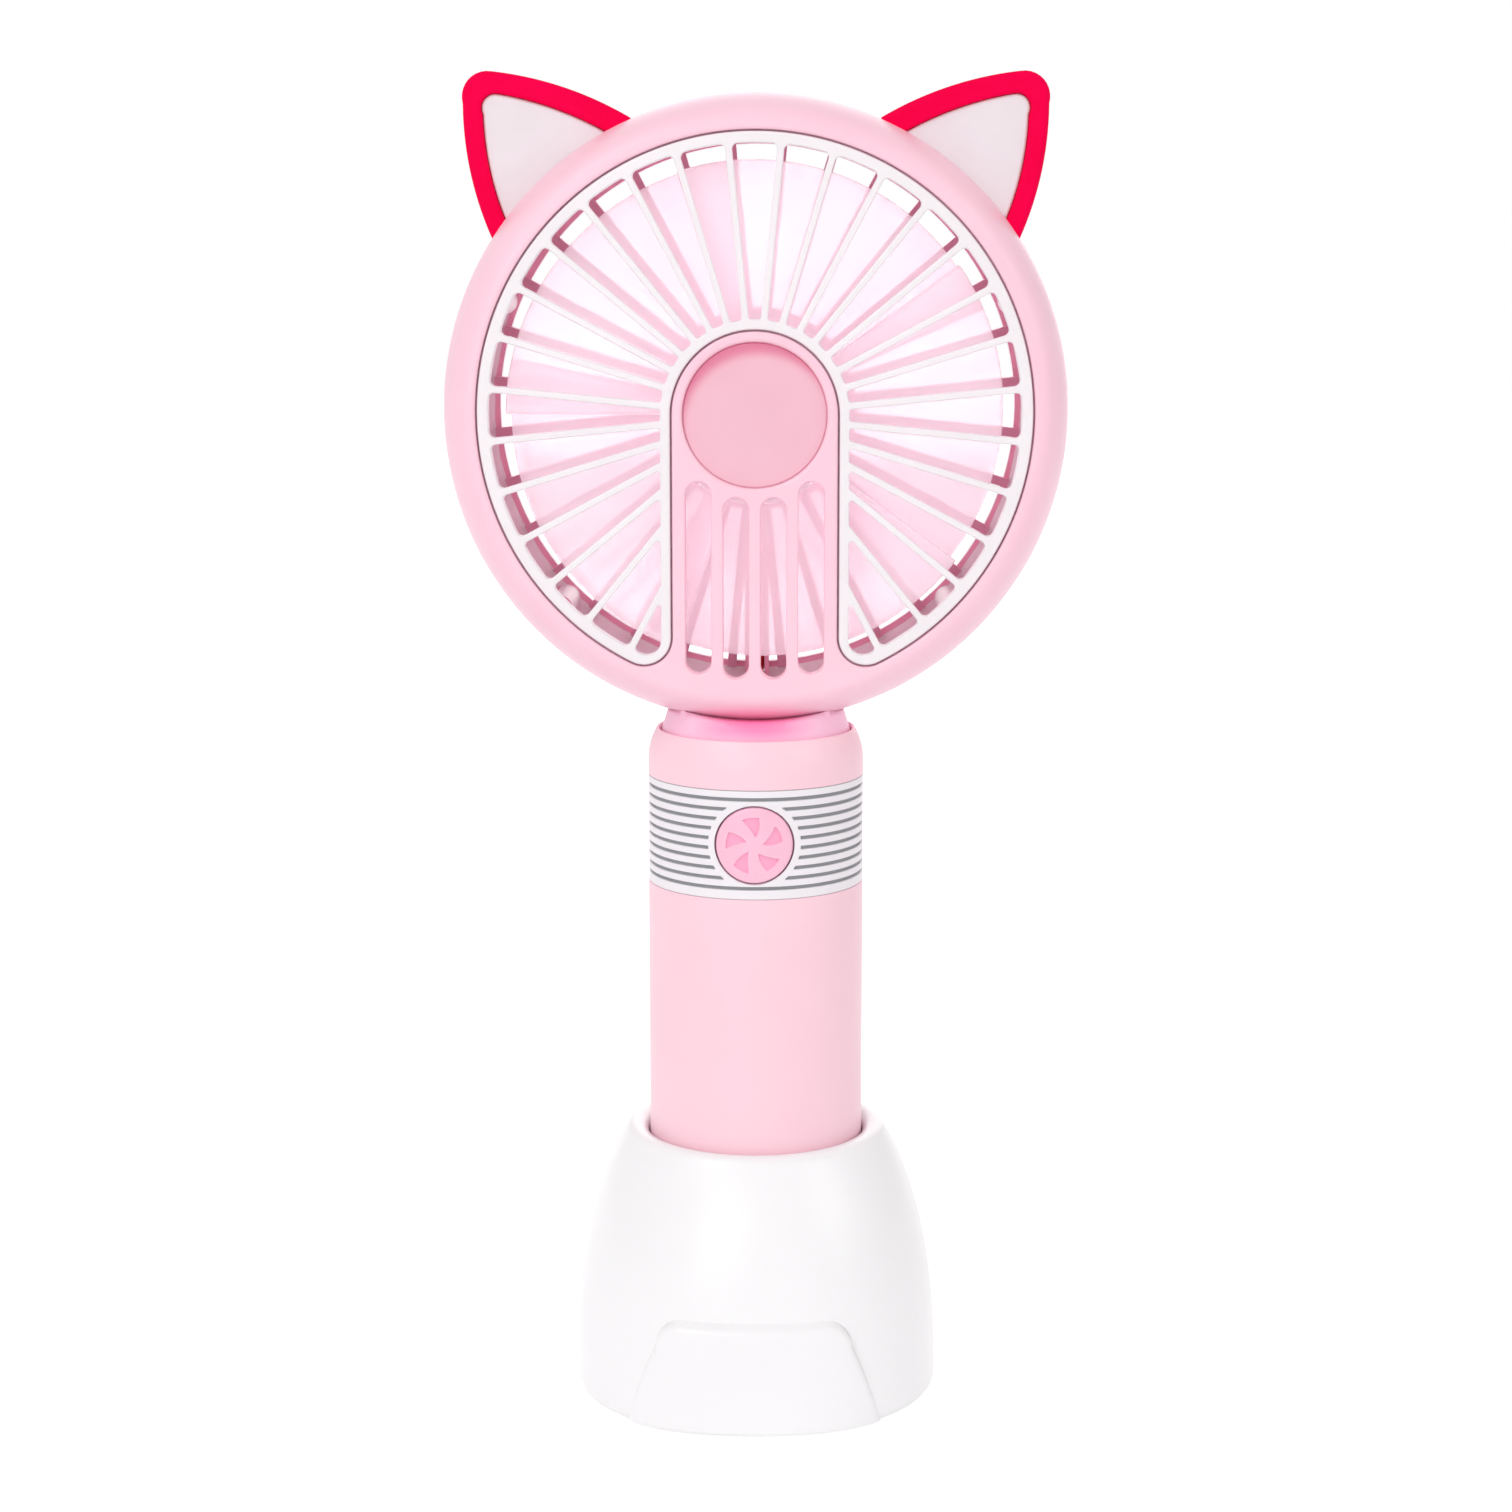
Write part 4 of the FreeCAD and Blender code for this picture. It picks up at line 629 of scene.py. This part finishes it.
dome += [(rear_flat + rear_roll * math.cos(t), rear_start + rear_depth * math.sin(t)) for t in roll]
dome.append((0, rear_start + rear_depth))
bm = bmesh.new()
lathe(bm, dome, "Y", (0, 0, head_z), [(360, 512)], closed=False)
cut_away(neck, bm)
# Painted shade: deep pink in the crease right under the head, strongest in the middle.
neck_shade_high = 1.7 * mm
neck_shade_half = 10 * mm
tint_and_painted_light = neck.data.attributes.new("tint_and_painted_light", "FLOAT", "POINT")
for v, mark in zip(neck.data.vertices, tint_and_painted_light.data):
    under = head_z - head_radius - v.co.z
    near = max(0.0, min(1.0, 1 - under / neck_shade_high))
    mark.value = near * max(0.0, 1 - (v.co.x / neck_shade_half) ** 2)
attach(neck, "fan")
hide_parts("neck")

# ---- Front cover ----
# Pink ring and bridge in one satin moulding. The ring's front rolls over to its side in a quarter
# ellipse; the bridge has a round hollow for the hub disc and four upright vent slots.


def bow(middle, radius, start, end, spacing=0.7 * mm):
    """Points on an arc; angles are clockwise from straight up."""
    count = max(3, math.ceil(abs(end - start) * radius / spacing))
    turns = [start + (end - start) * i / count for i in range(count + 1)]
    return [Vector((middle[0] + radius * math.sin(t), middle[1] + radius * math.cos(t))) for t in turns]


def part_way(a, b, share):
    """Point on the line from a to b."""
    return a + (b - a) * share


def horseshoe(ring, half, corner):
    """Outline of the opening round the bridge: ring radius, half width of the bridge, lower corners."""
    x = half + corner
    drop = math.sqrt((ring - corner) ** 2 - x**2)
    lean = math.atan2(x, drop)
    right = bow((x, -drop), corner, math.pi - lean, 1.5 * math.pi, 0.4 * mm)
    left = [Vector((-p.x, p.y)) for p in reversed(right)]
    outer = bow((0, 0), ring, lean - math.pi, math.pi - lean)
    sides = [part_way(right[-1], Vector((half, 0)), t) for t in (0.33, 0.66)]
    other = [Vector((-p.x, p.y)) for p in reversed(sides)]
    return outer[1:-1] + right + sides + bow((0, 0), half, math.pi / 2, -math.pi / 2) + other + left


def border(bm, points, y, hole):
    """Loop of edges at depth y in the head's face plane; each vertex knows which way is off the material."""
    away = bm.verts.layers.float_vector.get("away") or bm.verts.layers.float_vector.new("away")
    area = sum(a.x * b.y - b.x * a.y for a, b in zip(points, points[1:] + points[:1]))
    sign = (1 if area > 0 else -1) * (-1 if hole else 1)
    verts = []
    for before, here, after in zip(points[-1:] + points[:-1], points, points[1:] + points[:1]):
        one = (here - before).normalized()
        two = (after - here).normalized()
        normal = Vector((one.y + two.y, -one.x - two.x)) * sign / (1 + one.dot(two))
        v = bm.verts.new((here.x, y, head_z + here.y))
        v[away] = (normal.x, 0, normal.y)
        verts.append(v)
    return [bm.edges.new((a, b)) for a, b in zip(verts, verts[1:] + verts[:1])]


def carried(bm, edges, steps):
    """Draws a wall from a border: each step is how far off the border and how deep behind it to go."""
    away = bm.verts.layers.float_vector["away"]
    off, deep = 0.0, 0.0
    for next_off, next_deep in steps:
        drawn = bmesh.ops.extrude_edge_only(bm, edges=edges)["geom"]
        edges = [g for g in drawn if isinstance(g, bmesh.types.BMEdge)]
        for v in [g for g in drawn if isinstance(g, bmesh.types.BMVert)]:
            v.co += Vector(v[away]) * (next_off - off) + Vector((0, next_deep - deep, 0))
        off, deep = next_off, next_deep
    return edges


def quarter(width, depth, steps):
    """Steps of a quarter-round edge, from flat in the face to straight back."""
    turns = [math.pi / 2 * i / steps for i in range(1, steps + 1)]
    return [(width * math.sin(t), depth * (1 - math.cos(t))) for t in turns]


def filled(bm, edges):
    """Closes the flat face between loops of edges."""
    bmesh.ops.triangle_fill(bm, edges=edges, use_beauty=True)


def closed_up(bm):
    """Joins what meets, and turns every face outwards."""
    bmesh.ops.remove_doubles(bm, verts=bm.verts[:], dist=1e-6)
    bmesh.ops.recalc_face_normals(bm, faces=bm.faces[:])


opening_radius = 43.8 * mm
bridge_half = 13.0 * mm
bridge_corner = 4.6 * mm
shoulder = 0.04 * mm
head_wall = 1.8 * mm
cover_back = head_high[1]
seat_back = 3.0 * mm
hub_radius = 11.4 * mm
hub_round = 0.6 * mm
hub_sink = 1.2 * mm
slot_half = 2.03 * mm
slot_pitch = 5.94 * mm
slot_round = 0.3 * mm
outer_slot = (10.3 * mm, 40.8 * mm)
inner_slot = (12.8 * mm, 41.6 * mm)
slots = [(-1.5, *outer_slot), (-0.5, *inner_slot), (0.5, *inner_slot), (1.5, *outer_slot)]
edge_round = 0.45 * mm
seat_shelf = 1.5 * mm
roll_start = opening_radius + 0.6 * mm

bm = bmesh.new()
rim_edges = border(bm, bow((0, 0), roll_start, 0, 2 * math.pi, 1.0 * mm)[:-1], front_y, False)
mouth = horseshoe(opening_radius + edge_round, bridge_half - edge_round, bridge_corner + edge_round)
opening_edges = border(bm, mouth, front_y, True)
hub_edges = border(bm, bow((0, 0), hub_radius + hub_round, 0, 2 * math.pi, 0.5 * mm)[:-1], front_y, True)
slot_edges = []
for place, top, foot in slots:
    half_long = (foot - top) / 2 + slot_round
    half_wide = slot_half + slot_round
    points = capsule(place * slot_pitch, -(top + foot) / 2, half_wide, half_long, half_wide - 0.01 * mm)
    slot_edges.append(border(bm, points, front_y, True))
filled(bm, rim_edges + opening_edges + hub_edges + [e for loop in slot_edges for e in loop])
width = head_radius - roll_start
wall_in = width - head_wall
rolled_depth = -front_y
full_depth = cover_back - front_y
side_wall = [
    (width, rolled_depth + 1.0 * mm),
    (width, full_depth - 0.15 * mm),
    (width - 0.15 * mm, full_depth),
    (wall_in, full_depth),
    (wall_in, rolled_depth),
]
for t in (1.2, 0.9, 0.6, 0.4):
    side_wall.append((wall_in * math.sin(t), rolled_depth - (rolled_depth - seat_back) * math.cos(t)))
side_wall.append((0.6 * mm, seat_back))
back = carried(bm, rim_edges, [(shoulder, 0)] + quarter(width, rolled_depth, 22) + side_wall)
shelf_in = edge_round + seat_shelf
seat = [(edge_round, head_wall), (shelf_in, head_wall), (shelf_in, seat_back)]
back += carried(bm, opening_edges, [(shoulder, 0)] + quarter(edge_round, edge_round, 5) + seat)
slot_side = [(shoulder, 0)] + quarter(slot_round, slot_round, 4) + [(slot_round, seat_back)]
for loop in slot_edges:
    back += carried(bm, loop, slot_side)
filled(bm, back)
hub_side = [(shoulder, 0)] + quarter(hub_round, hub_round, 6) + [(hub_round, hub_sink)]
filled(bm, carried(bm, hub_edges, hub_side))
closed_up(bm)
head_pink = finish_of("head_pink", (254, 208, 223), (252, 203, 219), 20 * mm, 0.4, 0.5 * mm, 0.004 * mm)
front = made("front_ring", bm, head_pink)
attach(front, "fan")
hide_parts("front_cover")

# ---- Hub disc ----
# Deeper pink satin disc, glued into the hollow of the bridge. A painted shadow deepens its colour
# under the hollow's upper edge.

disc_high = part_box("hub_disc")[1]
disc_radius = disc_high[0]
disc_back = disc_high[1]
disc_face = disc_back - 0.3 * mm
disc_edge = 0.15 * mm
shade_wide = 2.2 * mm
shade_across = 0.7 * mm
shade_up = 2.6 * mm
lit_radius = disc_radius - 0.3 * mm
outline = [(disc_radius * i / 24, disc_face) for i in range(24)]
outline += [(disc_radius - disc_edge, disc_face), (disc_radius, disc_face + disc_edge)]
outline += [(disc_radius, disc_back), (0, disc_back)]
bm = bmesh.new()
lathe(bm, outline, "Y", (0, 0, head_z), [(360, 192)], closed=False)
# Painted shadow of the hollow's upper wall: a darker crescent over the top of the disc.
tint_and_painted_light = bm.verts.layers.float.new("tint_and_painted_light")
for v in bm.verts:
    across, up = v.co.x - shade_across, v.co.z - head_z + shade_up
    t = max(0.0, min(1.0, (math.hypot(across, up) - lit_radius) / shade_wide))
    v[tint_and_painted_light] = t * t * (3 - 2 * t)
disc_pink = finish_of(
    "disc_pink", (242, 188, 204), (239, 184, 200), 10 * mm, 0.45, 0.4 * mm, 0.004 * mm, tint_and_painted_light=(228, 128, 160)
)
hub_disc = made("hub_cap", bm, disc_pink)
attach(hub_disc, "fan")
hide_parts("hub_disc")

# ---- Front grille ----
# White horseshoe insert that drops into the cover: a flat rim and twenty-eight straight ribs,
# with every opening's corners rounded by the mould.


def meet(one, two, radius, toward):
    """Middle of a round that touches two borders of an opening.
    A border is ("side", normal, distance), ("rim", radius) outside or ("core", radius) inside."""
    if one[0] != "side":
        one, two = two, one
    n, c = one[1], one[2] + radius
    if two[0] == "side":
        m, d = two[1], two[2] + radius
        det = n.x * m.y - n.y * m.x
        return Vector(((c * m.y - d * n.y) / det, (d * n.x - c * m.x) / det))
    reach = two[1] - radius if two[0] == "rim" else two[1] + radius
    across = Vector((-n.y, n.x))
    if across.dot(toward) < 0:
        across = -across
    return n * c + across * math.sqrt(reach**2 - c**2)


def touch(one, middle, radius):
    """Where the round about middle touches a border."""
    return middle - one[1] * radius if one[0] == "side" else middle * (one[1] / middle.length)


def opening(borders, rounds, toward):
    """Outline of an opening between borders; rounds are its corner radii in the same order."""
    middles = []
    for i, radius in enumerate(rounds):
        middles.append(meet(borders[i], borders[(i + 1) % len(borders)], radius, toward))
    points = []
    for i, radius in enumerate(rounds):
        after = borders[(i + 1) % len(borders)]
        start = touch(borders[i], middles[i], radius) - middles[i]
        end = touch(after, middles[i], radius) - middles[i]
        points += [middles[i] + radius * start.normalized().slerp(end.normalized(), k / 5) for k in range(6)]
        if after[0] != "side":
            j = (i + 1) % len(rounds)
            first = touch(after, middles[i], radius).normalized()
            last = touch(after, middles[j], rounds[j]).normalized()
            points += [after[1] * first.slerp(last, k / 8) for k in range(1, 8)]
    return points


def ray(degrees):
    """Unit vector at an angle clockwise from straight up, and the one square to it."""
    t = math.radians(degrees)
    return Vector((math.sin(t), math.cos(t))), Vector((math.cos(t), -math.sin(t)))


def mirrored(points):
    """The same outline on the other side of the head."""
    return [Vector((-p.x, p.y)) for p in points]


grille_low, grille_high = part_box("front_grille")
grille_y = grille_low[1]
grille_depth = grille_high[1] - grille_low[1]
grille_gap = 0.3 * mm
rib_step = 360 / 32
rib_half = 0.55 * mm
rib_round = 0.28 * mm
rim_width = 1.75 * mm
core_width = 1.55 * mm
window_rim = opening_radius - grille_gap - rim_width
window_core = bridge_half + grille_gap + core_width
rim_corner = 1.1 * mm
core_corner = 0.7 * mm
windows = []
for k in range(-1, 13):
    left, right = (k + 0.5) * rib_step, (k + 1.5) * rib_step
    middle = ray((left + right) / 2)[0]
    core = ("core", window_core - rib_round)
    if right > 90:
        core = ("side", Vector((1, 0)), window_core - rib_round)
    borders = [("side", ray(left)[1], rib_half - rib_round), ("rim", window_rim + rib_round)]
    borders += [("side", -ray(right)[1], rib_half - rib_round), core]
    points = opening(borders, [rim_corner, rim_corner, core_corner, core_corner], middle)
    windows.append(points)
    if k >= 0:
        windows.append(mirrored(points))
last = 13.5 * rib_step
borders = [("side", ray(last)[1], rib_half - rib_round), ("rim", window_rim + rib_round)]
borders.append(("side", Vector((1, 0)), window_core - rib_round))
points = opening(borders, [1.0 * mm, 2.6 * mm, 0.6 * mm], ray(160)[0])
windows += [points, mirrored(points)]

bm = bmesh.new()
rim_round = 0.35 * mm
lip_depth = 1.4 * mm
lip_width = 0.95 * mm
rim_inset = grille_gap + rim_round
outline = horseshoe(opening_radius - rim_inset, bridge_half + rim_inset, bridge_corner - rim_inset)
outer_edges = border(bm, outline, grille_y, False)
loops = [border(bm, points, grille_y, True) for points in windows]
filled(bm, outer_edges + [e for loop in loops for e in loop])
step_in = [(rim_round, lip_depth), (-lip_width, lip_depth), (-lip_width, grille_depth)]
back = carried(bm, outer_edges, [(shoulder, 0)] + quarter(rim_round, rim_round, 4) + step_in)
rib_side = [(shoulder, 0)] + quarter(rib_round, rib_round, 4) + [(rib_round - 0.05 * mm, grille_depth)]
for loop in loops:
    back += carried(bm, loop, rib_side)
filled(bm, back)
closed_up(bm)
grille_white = finish_of("grille_white", (244, 238, 241), (240, 234, 237), 15 * mm, 0.4, 0.4 * mm, 0.003 * mm)
grille = made("grille", bm, grille_white)
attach(grille, "fan")
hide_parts("front_grille")

# ---- Rotor: fan wheel ----
# Frosted pale pink wheel on the motor's shaft: a round hub with five wide blades. Each blade is a slice
# of a screw surface, and neighbours overlap, so that the tips close a full circle. A faint glow stands in
# for daylight scattered inside the plastic.

wheel_low, wheel_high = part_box("impeller")
blade_count = 5
blade_tip = 39.5 * mm
blade_span = 84.0
blade_thick = 1.2 * mm
blade_inset = 1.0 * mm
wheel_hub = 14.3 * mm
hub_wall = 1.4 * mm
hub_front = wheel_low[1]
hub_back = wheel_high[1]
rise = hub_back - hub_front - 2 * blade_inset - blade_thick
bm = bmesh.new()
blade_steps = 42
blade_root = wheel_hub - hub_wall / 2
radii = [blade_root + (blade_tip - blade_root) * i / 14 for i in range(15)]
y = hub_front + blade_inset + blade_thick / 2
for k in range(blade_count):
    start = ray(360 * k / blade_count - 90)[0]
    line = [bm.verts.new((start.x * r, y, head_z + start.y * r)) for r in radii]
    geometry = line + [bm.edges.new(pair) for pair in zip(line, line[1:])]
    bmesh.ops.spin(
        bm,
        geom=geometry,
        cent=(0, 0, head_z),
        axis=(0, 1, 0),
        dvec=(0, rise / blade_steps, 0),
        angle=math.radians(blade_span),
        steps=blade_steps,
    )
bmesh.ops.recalc_face_normals(bm, faces=bm.faces[:])
frost_and_glow = {"Transmission_Weight": 0.45, "IOR": 1.2, "Subsurface_Weight": 0.9, "Subsurface_Scale": 3 * mm}
frost_and_glow["Subsurface_Radius"] = (1.0, 0.9, 0.95)
# Painted light: a faint pink glow, standing in for daylight scattered inside the plastic.
frost_and_glow["Emission_Color"] = (1.0, 0.86, 0.93, 1.0)
frost_and_glow["Emission_Strength"] = 0.15
frosted_and_glowing = finish_of(
    "frosted_pink_glowing", (253, 232, 240), (251, 227, 236), 12 * mm, 0.12, 0.4 * mm, 0.001 * mm, **frost_and_glow
)
blades = made("blades", bm, frosted_and_glowing)
thicken = blades.modifiers.new("thickness", "SOLIDIFY")
thicken.thickness = blade_thick
thicken.offset = 0
soften = blades.modifiers.new("soft_edges", "BEVEL")
soften.width = 0.3 * mm
soften.segments = 3
soften.limit_method = "ANGLE"
bm = bmesh.new()
boss_radius = 3.2 * mm
boss_back = hub_back - 1.0 * mm
bore_radius = 1.0 * mm
bore_end = hub_front + 2.9 * mm
hub_inside = wheel_hub - hub_wall
web_back = hub_front + hub_wall
corners = [(0, hub_front, 0), (wheel_hub, hub_front, 1.2 * mm), (wheel_hub, hub_back, 0.2 * mm)]
corners += [(hub_inside, hub_back, 0.2 * mm), (hub_inside, web_back, 0.6 * mm)]
corners += [(boss_radius, web_back, 0.4 * mm), (boss_radius, boss_back, 0.2 * mm)]
corners += [(bore_radius, boss_back, 0), (bore_radius, bore_end, 0), (0, bore_end, 0)]
lathe(bm, eased(corners), "Y", (0, 0, head_z), [(360, 128)], closed=False)
wheel = made("wheel_hub", bm, frosted_and_glowing)
for piece in (blades, wheel):
    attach(piece, "rotor")
    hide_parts("impeller")

# ---- Ears ----
# A pair of cat ears that plug into the head's edge: a crimson shell with a soft rounded border,
# and a white panel set into its face.


def ear_outline(flank, crown, brow, inset_radius):
    """Ear's outline, points from the head's middle: up the outer side, over the tip, down to the head."""
    points = arc_between(*flank, 16) + arc_between(*crown, 10)[1:] + arc_between(*brow, 20)[1:]
    start = math.atan2(points[-1].x, points[-1].y)
    end = math.atan2(points[0].x, points[0].y)
    root = bow((0, 0), inset_radius, start, end, 1.0 * mm)
    return points + root


def ear_points(rows):
    """Rows of points given in millimetres."""
    return [tuple(Vector(p) * mm for p in row) for row in rows]


shell_arcs = ear_points([
    ((41.2, 26.0), (45.05, 37.5), (46.1, 48.2)),
    ((46.1, 48.2), (45.2, 51.9), (41.6, 53.2)),
    ((41.6, 53.2), (31.3, 51.1), (19.8, 46.1)),
])
panel_arcs = ear_points([
    ((39.3, 29.4), (42.1, 38.5), (42.95, 46.5)),
    ((42.95, 46.5), (42.5, 49.15), (40.6, 49.75)),
    ((40.6, 49.75), (32.3, 47.7), (23.4, 43.8)),
])
ear_low, ear_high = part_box("ear_shell_right")
panel_low, panel_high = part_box("ear_panel_right")
ear_root = head_radius - 1.5 * mm
panel_root = ear_root + 0.3 * mm
slim = 0.99 * mm
pocket_round = 0.5 * mm
panel_round = 0.5 * mm
dull = {"Specular_IOR_Level": 0.03}
crimson = finish_of("ear_crimson", (250, 0, 76), (243, 0, 70), 8 * mm, 0.6, 0.4 * mm, 0.003 * mm, **dull)
panel_white = finish_of("ear_white", (234, 226, 230), (230, 222, 226), 8 * mm, 0.5, 0.4 * mm, 0.003 * mm)


def ear(side):
    """One ear, on the right for side 1: its shell and its panel."""
    word = "right" if side > 0 else "left"
    depth = ear_high[1] - ear_low[1]
    sink = panel_low[1] - ear_low[1]
    pocket_depth = panel_high[1] - ear_low[1]
    outside = [Vector((side * p.x, p.y)) for p in ear_outline(*shell_arcs, ear_root)]
    pocket = [Vector((side * p.x, p.y)) for p in ear_outline(*panel_arcs, panel_root)]
    bm = bmesh.new()
    outer = border(bm, outside, ear_low[1], False)
    inner = border(bm, pocket, ear_low[1], True)
    filled(bm, outer + inner)
    for v in {v for e in outer for v in e.verts}:
        v.co -= Vector(v[bm.verts.layers.float_vector["away"]]) * slim
    for v in {v for e in inner for v in e.verts}:
        v.co -= Vector(v[bm.verts.layers.float_vector["away"]]) * pocket_round
    rear = quarter(slim, slim, 6)
    rear = [(off, depth - deep) for off, deep in reversed([(0.0, 0.0)] + rear)]
    filled(bm, carried(bm, outer, [(shoulder, 0)] + quarter(slim, slim, 8) + rear))
    pocket_side = quarter(pocket_round, pocket_round, 5) + [(pocket_round, pocket_depth)]
    filled(bm, carried(bm, inner, [(shoulder, 0)] + pocket_side))
    closed_up(bm)
    shell = made("ear_" + word, bm, crimson)
    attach(shell, "fan")
    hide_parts("ear_shell_" + word)
    bm = bmesh.new()
    edges = border(bm, pocket, panel_low[1], False)
    filled(bm, edges)
    for v in {v for e in edges for v in e.verts}:
        v.co -= Vector(v[bm.verts.layers.float_vector["away"]]) * (panel_round + 0.05 * mm)
    panel_depth = pocket_depth - sink - 0.02 * mm
    panel_side = quarter(panel_round, panel_round, 6) + [(panel_round, panel_depth)]
    filled(bm, carried(bm, edges, [(shoulder, 0)] + panel_side))
    closed_up(bm)
    panel = made("ear_panel_face_" + word, bm, panel_white)
    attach(panel, "fan")
    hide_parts("ear_panel_" + word)


ear(1)
ear(-1)

# ---- Rear cover ----
# Pink back of the head: rolled ring, thirty-two straight ribs and the cup that holds the motor,
# all one moulding, held by four screws from behind. Painted light makes the wall that faces the
# blades' tips near white.

bm = bmesh.new()
bm.from_mesh(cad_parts["rear_cover"].data)
bmesh.ops.remove_doubles(bm, verts=bm.verts[:], dist=2e-6)
bmesh.ops.dissolve_limit(bm, angle_limit=math.radians(0.5), verts=bm.verts[:], edges=bm.edges[:])
# Painted light: faces on the open side of the rim, near the blades' tips, take a near-white colour.
painted_light_from = opening_radius - 2.5 * mm
inward = -0.4
painted_light_faces = bm.faces.layers.float.new("tint_and_painted_light")
for face in bm.faces:
    middle = face.calc_center_median() - Vector((0, 0, head_z))
    out = Vector((middle.x, 0, middle.z))
    open_side = face.normal.dot(out) < inward * out.length or face.normal.y < inward
    face[painted_light_faces] = 1.0 if open_side and out.length > painted_light_from else 0.0
rear_pink = finish_of(
    "rear_pink", (255, 184, 210), (253, 178, 205), 20 * mm, 0.42, 0.5 * mm, 0.004 * mm, tint_and_painted_light=(255, 250, 252)
)
rear = made("rear_ring", bm, rear_pink, 25.0)
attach(rear, "fan")
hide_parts("rear_cover")

# ---- Pieces that stay as they were designed ----
# Screws, plates, feet, the socket and everything inside the handle and the head keep their own shapes
# and get the finish of what they are made of.

inside_plastic = finish_of(
    "inside_plastic", (236, 232, 234), (226, 222, 224), 6 * mm, 0.5, 0.4 * mm, 0.004 * mm
)
steel = finish_of(
    "bright_steel", (196, 198, 200), (176, 178, 182), 2 * mm, 0.3, 0.15 * mm, 0.003 * mm, Metallic=1.0
)
iron = finish_of("cast_iron", (92, 92, 94), (70, 70, 72), 3 * mm, 0.65, 0.3 * mm, 0.02 * mm, Metallic=0.8)
rubber = finish_of("grey_rubber", (150, 150, 152), (136, 136, 138), 3 * mm, 0.8, 0.2 * mm, 0.01 * mm)
board = finish_of("board_lacquer", (30, 110, 62), (22, 92, 50), 4 * mm, 0.3, 0.2 * mm, 0.003 * mm)
cell = finish_of("cell_sleeve", (66, 120, 190), (58, 108, 176), 10 * mm, 0.3, 0.3 * mm, 0.003 * mm)
black = finish_of("black_plastic", (40, 40, 42), (30, 30, 32), 4 * mm, 0.45, 0.3 * mm, 0.004 * mm)
bronze = finish_of(
    "sintered_bronze", (176, 128, 78), (150, 104, 60), 1 * mm, 0.5, 0.1 * mm, 0.01 * mm, Metallic=1.0
)
magnet = finish_of("ferrite", (84, 84, 88), (66, 66, 70), 2 * mm, 0.6, 0.2 * mm, 0.01 * mm)
copper = finish_of(
    "copper_wire", (206, 128, 84), (184, 104, 62), 1 * mm, 0.35, 0.12 * mm, 0.02 * mm, Metallic=1.0
)
red = finish_of("red_sleeve", (206, 34, 40), (184, 26, 32), 3 * mm, 0.45, 0.2 * mm, 0.004 * mm)
lead_black = finish_of("black_sleeve", (36, 36, 38), (26, 26, 28), 3 * mm, 0.45, 0.2 * mm, 0.004 * mm)
see_through = {"Transmission_Weight": 0.8}
clear = finish_of(
    "clear_lamp", (246, 250, 246), (238, 244, 238), 1 * mm, 0.15, 0.2 * mm, 0.001 * mm, **see_through
)
stays = {
    "base_bottom_plate": stand_white,
    "base_weight": iron,
    "base_feet": rubber,
    "base_screws": steel,
    "bottom_cap": grip_pink,
    "cap_screw": steel,
    "neck_screws": steel,
    "chassis": inside_plastic,
    "chassis_screws": steel,
    "battery_cell": cell,
    "battery_positive_contact": steel,
    "battery_negative_spring": steel,
    "battery_lead": lead_black,
    "control_board": board,
    "board_screws": steel,
    "usb_socket": steel,
    "charge_lamp": clear,
    "tact_switch": black,
    "switch_plunger": black,
    "wire_cover": rear_pink,
    "cover_screws": steel,
    "motor_can": steel,
    "motor_end_cap": black,
    "motor_bushes": bronze,
    "motor_magnets": magnet,
    "motor_mount_plate": inside_plastic,
    "motor_screws": steel,
    "mount_plate_screws": steel,
    "motor_lead_red": red,
    "motor_lead_black": lead_black,
    "motor_shaft": steel,
    "motor_armature": copper,
    "commutator": copper,
}
for name, material in stays.items():
    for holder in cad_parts[name].material_slots:
        holder.material = material
